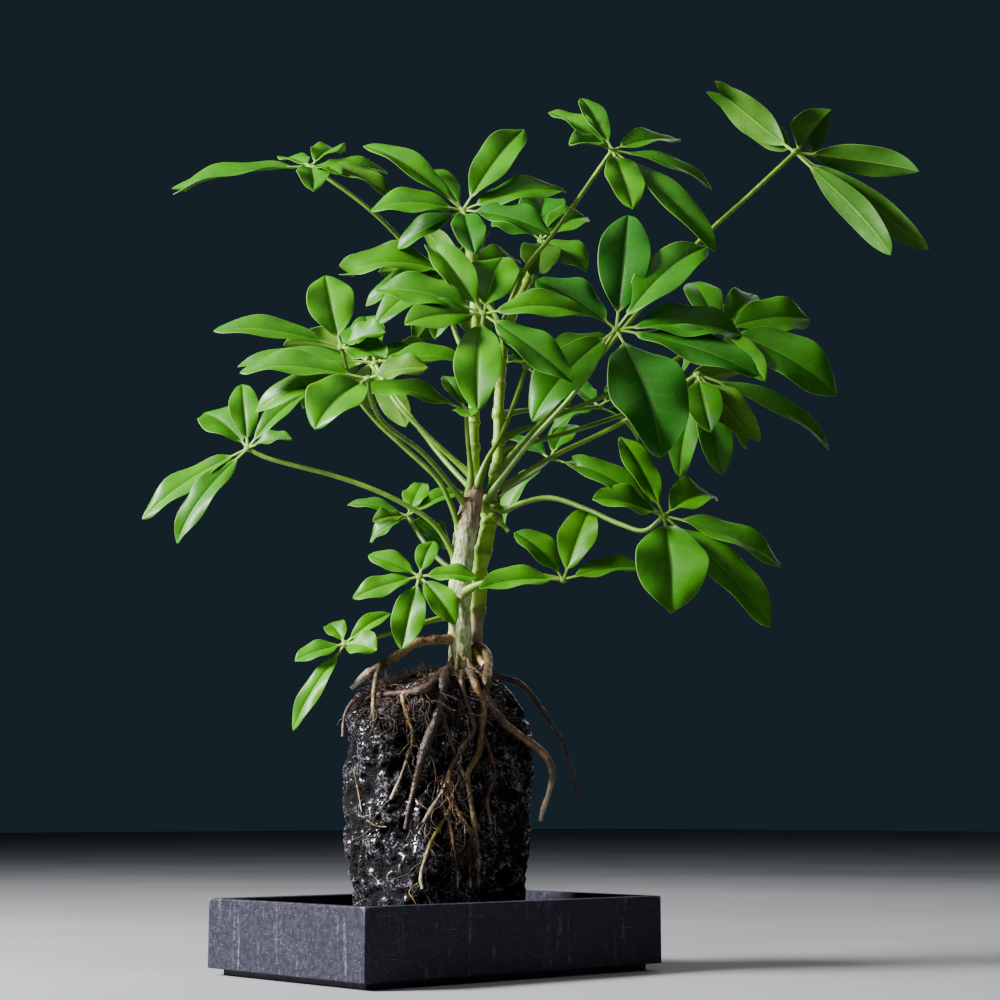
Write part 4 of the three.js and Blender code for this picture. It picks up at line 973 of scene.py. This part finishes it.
def whorl(name, hub, facing, leaflets, ripeness_and_shade, first_seed, turned):
    """All the leaflets of one leaf and the hub that joins them, as one mesh.

    Those whose places are in turned show their duller face on top.
    """
    up = np.array(facing, dtype=float)
    up /= np.linalg.norm(up)
    points, faces, skins, uv_points, tints = [], [], [], [], []

    def note(new_points, new_faces, new_skins, uvs, tint):
        low = sum(len(p) for p in points)
        points.append(new_points)
        faces.extend([tuple(low + i for i in face) for face in new_faces])
        skins.extend(new_skins)
        uv_points.append(uvs)
        tints.extend([tint] * len(new_points))

    for index, row in enumerate(leaflets):
        seed = first_seed + index
        upper, lower, uvs, rows = leaflet_grid(row, up, seed)
        quads, quad_skins = leaflet_faces(rows, index in turned)
        note(np.vstack([upper, lower]), quads, quad_skins, np.vstack([uvs, uvs]), vary(seed + 0.75))
    knob, knob_faces = hub_points(up, LEAF["hub"])
    note(knob, knob_faces, [2] * len(knob_faces), np.full((len(knob), 2), 0.5), 0.5)

    places = to_frame(np.vstack(points) + np.array(hub, dtype=float))
    mesh = bpy.data.meshes.new(name)
    mesh.from_pydata(places.tolist(), [], faces)
    for skin in (LEAF_UPPER, LEAF_UNDER, STALK_SKIN):
        mesh.materials.append(skin)
    mesh.polygons.foreach_set("material_index", skins)
    shade_smooth(mesh)
    corners = np.empty(len(mesh.loops), dtype=np.int32)
    mesh.loops.foreach_get("vertex_index", corners)
    layer = mesh.uv_layers.new(name="blade")
    layer.uv.foreach_set("vector", np.vstack(uv_points)[corners].astype(np.float32).ravel())
    for label, values in (("tint", tints), ("ripeness_and_shade", ripeness_and_shade), ("along", 1.0)):
        set_floats(mesh, label, values)
    mesh.update()
    return new_object(name, mesh)


def stalk_path(stalk, hub):
    """A stalk that is swollen where it leaves the stem, then nearly even up to its hub."""
    dense = np.array(smooth_path([(*p, 0) for p in [*stalk, hub]]))
    steps = np.linalg.norm(np.diff(dense[:, :3], axis=0), axis=1)
    reach = np.concatenate([[0], np.cumsum(steps)])
    slender = STALK["radius"] + (STALK["tip"] - STALK["radius"]) * reach / reach[-1]
    dense[:, 3] = slender + STALK["swelling"] * bell(reach, STALK["swollen_length"])
    return dense


def make_leaves():
    """Each leaf's blades and, but for the two on a shoot's end, its stalk."""
    shape = dict(Step=0.002, Sides=18, Knobbliness=0.06, Wrinkle_Depth=0.00002)
    seed = 1
    for name, (hub, facing, stalk, leaflets, ripeness_and_shade) in LEAVES.items():
        blades = whorl(f"{name}_blades", hub, facing, leaflets, ripeness_and_shade, seed, TURNED.get(name, ()))
        finish_piece(blades, "leaf_blade", f"leaf_{name}_leaflets")
        seed += len(leaflets)
        if stalk:
            piece = stems(f"{name}_stalk", [stalk_path(stalk, hub)], STALK_SKIN, **shape)
            finish_piece(piece, "leaf_stalk", f"leaf_{name}_stalk")


# ---- Trunk and green stem ----


def make_stems():
    """The trunk with its splintered top, and the green second stem with its shoots."""
    x, y, z, radius = TRUNK[-3]
    reach = radius - 0.9
    splinters = []
    for degrees, tip in SPLINTERS:
        dx, dy = math.cos(math.radians(degrees)) * reach, math.sin(math.radians(degrees)) * reach
        splinters.append([
            (x + dx, y + dy, z - 2.5, 1.1), (x + dx, y + dy, z, 1.0),
            (x + 0.5 + dx, y + dy, tip - 0.5, 0.6), (x + 0.6 + dx, y + dy, tip, 0.2),
        ])
    trunk = stems(
        "trunk_wood", [smooth_path(TRUNK)], BARK, Sides=32, Step=0.0007, Knobbliness=0.2,
        Wrinkle_Depth=0.0005, Wrinkle_Scale=420.0, Ring_Spacing=0.016, Ring_Height=0.0003,
    )
    ragged = stems(
        "trunk_splinters", splinters, BARK, Sides=7, Step=0.0006, Knobbliness=0.3, Wrinkle_Depth=0.0003,
    )
    finish_piece(joined("trunk_bark", [trunk, ragged]), "bark", "trunk")
    green = stems(
        "green_stem_shoots", [smooth_path(path) for path in GREEN_STEMS], GREEN_SKIN, Sides=20, Step=0.0008,
        Knobbliness=0.14, Wrinkle_Depth=0.0002, Wrinkle_Scale=380.0, Ring_Spacing=0.0135, Ring_Height=0.0007,
    )
    finish_piece(green, "green_stem", "green_stem")


# ---- Roots ----

# Fibres over the rock's edge: how many, mm long, how pale, how red.
HANGING_FIBRES = [(130, 16, 0.0, 0.5), (60, 22, 0.08, 0.95), (22, 12, 0.75, 0.5)]
# Side roots: how many, mm long, thickest radius, the height they start below, how pale, how red.
SIDE_ROOTS = [
    (70, 22, 0.4, 140, 0.0, 0.7), (70, 14, 0.22, 140, 0.05, 0.5), (18, 28, 0.4, 120, 0.2, 0.6),
    (5, 26, 0.3, 90, 0.7, 0.35), (10, 12, 0.2, 90, 0.9, 0.5), (26, 26, 0.35, 105, 0.12, 0.95),
]
# They grow from this many of the roots, the first in the list, and start right of this x.
SIDE_ROOT_PARENTS = 13
SIDE_ROOT_LEFT_END = -34


def fine_roots(seed, parents, count, reach, thickest, highest):
    """Short wandering side roots that leave points of the parent roots below a height, as paths."""
    rng = np.random.default_rng(seed)
    made = []
    while len(made) < count:
        path = parents[rng.integers(len(parents))]
        start = np.array(path[rng.integers(1, len(path))])
        if start[2] > highest or start[0] < SIDE_ROOT_LEFT_END:
            continue
        heading = rng.normal(0, 1, 3) * (0.9, 0.35, 0.4) + (0, -0.3, -0.9)
        place, route = start[:3].copy(), []
        radius = min(start[3] * 0.5, thickest)
        steps = int(rng.integers(9, 17))
        for step in range(steps):
            route.append((*place, max(radius * (1 - 0.8 * step / steps), 0.09)))
            heading = 0.8 * heading + rng.normal(0, 0.6, 3) * (1, 0.35, 0.5) + (0, 0, -0.28)
            place = place + heading / np.linalg.norm(heading) * reach * rng.uniform(0.5, 1.2) / steps
            if place[2] < 128:
                face = near_face_of_rock(place[0], place[2])
                place[1] = min(max(place[1], face - 4.0), face - 0.4) if face else place[1]
        made.append(smooth_path(route, 3))
    return made


def hanging_fibres(seed, count, reach):
    """Tangled fibres that hang over the rock's near edge, as paths."""
    rng = np.random.default_rng(seed)
    made = []
    for _ in range(count):
        x, z = rng.uniform(-36, 30), rng.uniform(110, 127)
        place = np.array([x, near_face_of_rock(x, z) - rng.uniform(0.3, 3.0), z])
        heading = rng.normal(0, 1, 3) * (1, 0.4, 0.6) + (0, -0.2, -0.6)
        radius, steps, route = rng.uniform(0.1, 0.24), int(rng.integers(6, 11)), []
        length = reach * rng.uniform(0.4, 1.3)
        for step in range(steps):
            route.append((*place, max(radius * (1 - 0.7 * step / steps), 0.08)))
            heading = heading + rng.normal(0, 0.9, 3) * (1, 0.5, 0.8) + (0, 0, -0.2)
            place = place + heading / np.linalg.norm(heading) * length / steps
            place[1] = min(place[1], near_face_of_rock(place[0], place[2]) - 0.3)
        made.append(smooth_path(route, 3))
    return made


def crown_piece():
    """The knot where the roots meet, a lump with ridges that run out into them."""
    shell = bmesh.new()
    bmesh.ops.create_icosphere(shell, subdivisions=5, radius=1.0)
    for vert in shell.verts:
        x, y, z = vert.co
        angle = math.atan2(y, x)
        ridges = 1 + 0.12 * math.sin(7 * angle + 3 * z) + 0.07 * math.sin(13 * angle + 1 - 4 * z)
        vert.co = [c * r * ridges for c, r in zip((x, y, z), ROOT_CROWN["radii"])]
    mesh = mesh_of("root_crown", shell)
    set_points(mesh, to_frame(get_points(mesh) + np.array(ROOT_CROWN["centre"])))
    mesh.materials.append(ROOT_SKIN)
    shade_smooth(mesh)
    return tinted(new_object("root_crown", mesh), 0.15, 0.5)


def make_roots():
    """The roots over the rock with their side roots, threads and fibres, and the aerial root."""
    thick = dict(Sides=12, Step=0.0008, Knobbliness=0.5, Wrinkle_Depth=0.0004, Wrinkle_Scale=560.0)
    thin = dict(Sides=5, Step=0.0013, Knobbliness=0.2, Wrinkle_Depth=0.00005)
    pieces, parents = [], []

    def grow(name, paths, pale, red, shape):
        pieces.append(tinted(stems(name, paths, ROOT_SKIN, **shape), pale, red))

    for index, (points, pale, red) in enumerate(ROOTS):
        parents.append(root_path(points))
        grow(f"root_{index}", [parents[-1]], pale, red, thick)
    for index, (points, pale, red) in enumerate(THREADS):
        grow(f"thread_{index}", [root_path(points)], pale, red, thin)
    for index, (*rule, pale, red) in enumerate(SIDE_ROOTS):
        paths = fine_roots(40 + index, parents[:SIDE_ROOT_PARENTS], *rule)
        grow(f"side_roots_{index}", paths, pale, red, thin)
    for index, (count, reach, pale, red) in enumerate(HANGING_FIBRES):
        grow(f"fibres_{index}", hanging_fibres(60 + index, count, reach), pale, red, thin)
    finish_piece(joined("root_net", [*pieces, crown_piece()]), "root", "roots")
    pieces.clear()
    for index, (points, pale, red) in enumerate(AERIAL_ROOTS):
        grow(f"aerial_{index}", [smooth_path(points)], pale, red, thick)
    finish_piece(joined("aerial_root_skin", pieces), "root", "aerial_root")


# ---- Rock ----

ROCK_GRID = dict(sides=300, levels=210, cap=40)
# Its rough surface: mm deep, mm across, seed.
ROCK_RELIEF = [(1.1, 8.0, 3), (0.9, 4.0, 4), (0.9, 2.2, 5), (0.6, 1.2, 6)]


def value_noise(points, scale, seed):
    """Smooth noise in -1..1 from a seeded lattice, at points in millimetres."""
    rng = np.random.default_rng(seed)
    size = 32
    lattice = rng.uniform(-1, 1, (size, size, size))
    p = points / scale + 1000.0
    cell = np.floor(p).astype(int)
    f = p - cell
    f = f * f * (3 - 2 * f)
    total = np.zeros(len(points))
    for corner in range(8):
        o = np.array([corner & 1, corner >> 1 & 1, corner >> 2 & 1])
        weight = np.prod(np.where(o, f, 1 - f), axis=1)
        i, j, k = ((cell + o) % size).T
        total += weight * lattice[i, j, k]
    return total


def rock_grid():
    """Rings of points over the rock's foot, up its walls and in over its top."""
    sides, levels, cap = ROCK_GRID["sides"], ROCK_GRID["levels"], ROCK_GRID["cap"]
    angle = np.linspace(0, 2 * math.pi, sides, endpoint=False)
    rise = np.sin(np.linspace(0, 1, levels) * math.pi / 2)[:, None]
    height = ROCK["foot"] + (rock_top(angle)[None, :] - ROCK["foot"]) * rise
    reach = rock_reach(angle[None, :], height)
    walls = np.stack([reach * np.cos(angle), reach * np.sin(angle), height], axis=2)
    inward = np.linspace(1, 0, cap + 1)[1:-1]
    rim_x, rim_y = walls[-1, :, 0], walls[-1, :, 1]
    lid = np.stack([np.stack([rim_x * k, rim_y * k, crest_height(angle, k)], axis=1) for k in inward])
    base = np.stack([walls[0] * (k, k, 1) for k in inward[::-1]])
    return np.concatenate([base, walls, lid])


def rock_relief(points):
    """How far lumps, cracks and pores stand out of the smooth form, and how near a crest each point is."""
    rough = sum(deep * value_noise(points, across, seed) for deep, across, seed in ROCK_RELIEF)
    ridge = 1 - np.abs(value_noise(points, 6.0, 7)) * 2
    pores = np.clip(value_noise(points, 2.6, 8) - 0.25, 0, 1)
    pores = pores + 0.7 * np.clip(value_noise(points, 1.3, 9) - 0.3, 0, 1)
    depth = rough + 0.9 * ridge - 2.2 * pores - 0.6
    crest = np.clip(0.5 + depth / 4.0, 0, 1)
    # Relief stands out of the solid's form far less than it goes into it.
    depth = np.where(depth > 0, 0.9 * np.tanh(depth / 0.9), depth)
    from_axis = np.hypot(points[:, 0], points[:, 1])
    top = np.clip((points[:, 2] - 122) / 8, 0, 1) * np.clip(1.3 - from_axis / 26, 0, 1)
    depth = depth + top * (1.2 + 1.6 * value_noise(points, 7.0, 12))
    above_foot = points[:, 2] - ROCK["foot"]
    return np.where(above_foot < 0.01, 0.0, depth * np.clip(above_foot / 2.0, 0, 1)), crest


def make_rock():
    """The lava: the solid's form, broken up by lumps, cracks and pores."""
    grid = rock_grid()
    rows, sides = grid.shape[:2]
    points = np.vstack([grid.reshape(-1, 3), [[0, 0, ROCK["foot"]], [0, 0, ROCK["crest"]]]])
    # Outward directions of the smooth form, from the grid itself.
    d_side = np.roll(grid, -1, axis=1) - np.roll(grid, 1, axis=1)
    n = np.cross(d_side, np.gradient(grid, axis=0)).reshape(-1, 3)
    normal = np.vstack([n / (np.linalg.norm(n, axis=1, keepdims=True) + 1e-9), [[0, 0, -1], [0, 0, 1]]])
    depth, crest = rock_relief(points)
    moved = points + normal * depth[:, None]
    moved[:, 2] = np.maximum(moved[:, 2], ROCK["foot"])
    faces = []
    for r in range(rows - 1):
        for s in range(sides):
            a, b = r * sides + s, r * sides + (s + 1) % sides
            faces.append((a, b, b + sides, a + sides))
    foot, peak = len(points) - 2, len(points) - 1
    last = (rows - 1) * sides
    faces += [(foot, (s + 1) % sides, s) for s in range(sides)]
    faces += [(peak, last + s, last + (s + 1) % sides) for s in range(sides)]
    mesh = bpy.data.meshes.new("lava_rock")
    mesh.from_pydata((moved * MM).tolist(), [], faces)
    shade_smooth(mesh)
    mesh.materials.append(LAVA)
    set_floats(mesh, "crest", crest)
    mesh.update()
    finish_piece(new_object("lava_rock", mesh), "lava", "rock")


# Fibres of the felt: how many, how far they stay from the trunk, and by turns how pale and how red.
FELT_FIBRES = 900
FELT_GAP = 9
FELT_TINTS = [(0.0, 0.1), (0.15, 0.8), (0.6, 0.5), (0.0, 0.6)]


def make_felt():
    """Dead root felt on the rock's top: short curled threads, scattered and lying every way."""
    rng = np.random.default_rng(21)
    groups = [[] for _ in FELT_TINTS]
    cos, sin = math.cos(-PLANT_TURN), math.sin(-PLANT_TURN)
    for index in range(FELT_FIBRES):
        angle = rng.uniform(0, 2 * math.pi)
        out = math.sqrt(rng.uniform(0.01, 1.0))
        reach = rock_reach(angle, rock_top(angle)) * 1.02 * out
        x, y = math.cos(angle) * reach, math.sin(angle) * reach
        level = crest_height(angle, out) + rng.uniform(-0.3, 2.0)
        place = np.array([x * cos - y * sin, x * sin + y * cos, level])
        if math.hypot(place[0] - TRUNK[0][0], place[1] - TRUNK[0][1]) < FELT_GAP:
            continue
        heading = rng.normal(0, 1, 3) * (1, 1, 0.4)
        radius = rng.uniform(0.12, 0.3)
        route = []
        for step in range(6):
            route.append((*place, radius * (1 - 0.13 * step)))
            heading = heading + rng.normal(0, 0.8, 3) * (1, 1, 0.45)
            place = place + heading / np.linalg.norm(heading) * rng.uniform(0.8, 2.2)
        groups[index % len(groups)].append(smooth_path(route, 2))
    shape = dict(Sides=4, Step=0.0013, Knobbliness=0.1, Wrinkle_Depth=0.00003)
    pieces = [
        tinted(stems(f"felt_{i}", group, FELT, **shape), pale, red)
        for i, ((pale, red), group) in enumerate(zip(FELT_TINTS, groups))
    ]
    finish_piece(joined("root_felt", pieces), "root")


# ---- Tray ----


def make_tray():
    """The tray: walls with softened edges, a floor and a recessed foot."""
    t = TRAY
    half_l, half_w = t["length"] / 2, t["width"] / 2
    profile = [
        (t["foot_inset"], 0), (t["foot_inset"], t["foot"]), (0, t["foot"]), (0, t["height"]),
        (t["wall"], t["height"]), (t["wall"], t["foot"] + t["floor"]),
    ]
    shell = bmesh.new()
    rings = []
    for inset, z in profile:
        x, y = half_l - inset, half_w - inset
        quarters = ((1, 1), (-1, 1), (-1, -1), (1, -1))
        rings.append([shell.verts.new((sx * x, sy * y, z)) for sx, sy in quarters])
    for low, high in zip(rings, rings[1:]):
        for i in range(4):
            j = (i + 1) % 4
            shell.faces.new((low[i], low[j], high[j], high[i]))
    shell.faces.new(rings[0][::-1])
    shell.faces.new(rings[-1])
    bmesh.ops.recalc_face_normals(shell, faces=shell.faces)
    sharp = [e for e in shell.edges if e.calc_face_angle(0) > 0.5]
    bmesh.ops.bevel(shell, geom=sharp, offset=t["softening"], segments=3, profile=0.6, affect="EDGES")
    # Short edges, so that the paler rim and corners, partly wear and partly a painted highlight, have points
    # to sit on.
    for _ in range(5):
        long_edges = [e for e in shell.edges if e.calc_length() > t["longest_edge"]]
        if not long_edges:
            break
        bmesh.ops.subdivide_edges(shell, edges=long_edges, cuts=1, use_grid_fill=True)
    bmesh.ops.triangulate(shell, faces=shell.faces)
    bmesh.ops.recalc_face_normals(shell, faces=shell.faces)
    mesh = mesh_of("clay_tray", shell)
    points = get_points(mesh)
    in_x, in_y = half_l - np.abs(points[:, 0]), half_w - np.abs(points[:, 1])
    rim = bell(t["height"] - points[:, 2], 0.8) * bell(np.maximum(np.minimum(in_x, in_y), 0), 0.8)
    corner = np.exp(-(in_x ** 2 + in_y ** 2))
    set_floats(mesh, "edge", np.clip(rim + corner, 0, 1))
    set_points(mesh, points * MM)
    mesh.materials.append(CLAY)
    finish_piece(new_object("clay_tray", mesh), "tray_clay", "tray")


# ---- Stage ----

CAMERA = dict(place=(27.5, -911.6, 70.0), tilt=8.9, lens=72.0, sensor=36.0)
# Where the lamps point.
LIT_POINT = (20.0, 0.0, 230.0)
# Lamps: name, place in plant millimetres, size in metres, watts.
LAMPS = [
    ("key", (-1000, -300, 760), 0.35, 92.0), ("top", (120, -500, 1300), 1.0, 4.0),
    ("fill", (600, -1000, 500), 1.4, 1.0), ("rim", (500, 900, 800), 0.9, 4.0),
]
SURROUNDINGS = dict(tone=(0.026, 0.046, 0.066, 1.0), strength=0.42)
FLOOR_REACH = 6.0


def make_stage():
    """A pale floor, the camera at the photograph's viewing angle, and soft studio light."""
    mesh = bpy.data.meshes.new("floor")
    corners = [(x * FLOOR_REACH, y * FLOOR_REACH, 0) for x, y in ((-1, -1), (1, -1), (1, 1), (-1, 1))]
    mesh.from_pydata(corners, [], [(0, 1, 2, 3)])
    floor = new_object("floor", mesh)
    pale = Finish("pale_floor", Roughness=0.7)
    mottle, _ = pale.grain(3.0, 60.0)
    pale.base = pale.mix(mottle, (0.20, 0.205, 0.215), (0.235, 0.24, 0.25))
    mesh.materials.append(pale.close())

    view = bpy.data.cameras.new("view")
    view.lens, view.sensor_width, view.clip_start = CAMERA["lens"], CAMERA["sensor"], 0.01
    camera = new_object("view", view)
    camera.location = to_frame(CAMERA["place"])[0]
    camera.rotation_euler = (math.radians(90 + CAMERA["tilt"]), 0, PLANT_TURN)
    bpy.context.scene.camera = camera

    for name, place, size, power in LAMPS:
        lamp = bpy.data.lights.new(name, "AREA")
        lamp.size, lamp.energy = size, power
        light = new_object(name, lamp)
        light.location = to_frame(place)[0]
        towards = mathutils.Vector(to_frame(LIT_POINT)[0] - to_frame(place)[0])
        light.rotation_euler = towards.to_track_quat("-Z", "Y").to_euler()
    world = bpy.data.worlds.new("studio")
    world.use_nodes = True
    surround = world.node_tree.nodes["Background"].inputs
    surround["Color"].default_value = SURROUNDINGS["tone"]
    surround["Strength"].default_value = SURROUNDINGS["strength"]
    bpy.context.scene.world = world


make_stage()
make_tray()
make_rock()
make_felt()
make_stems()
make_roots()
make_leaves()
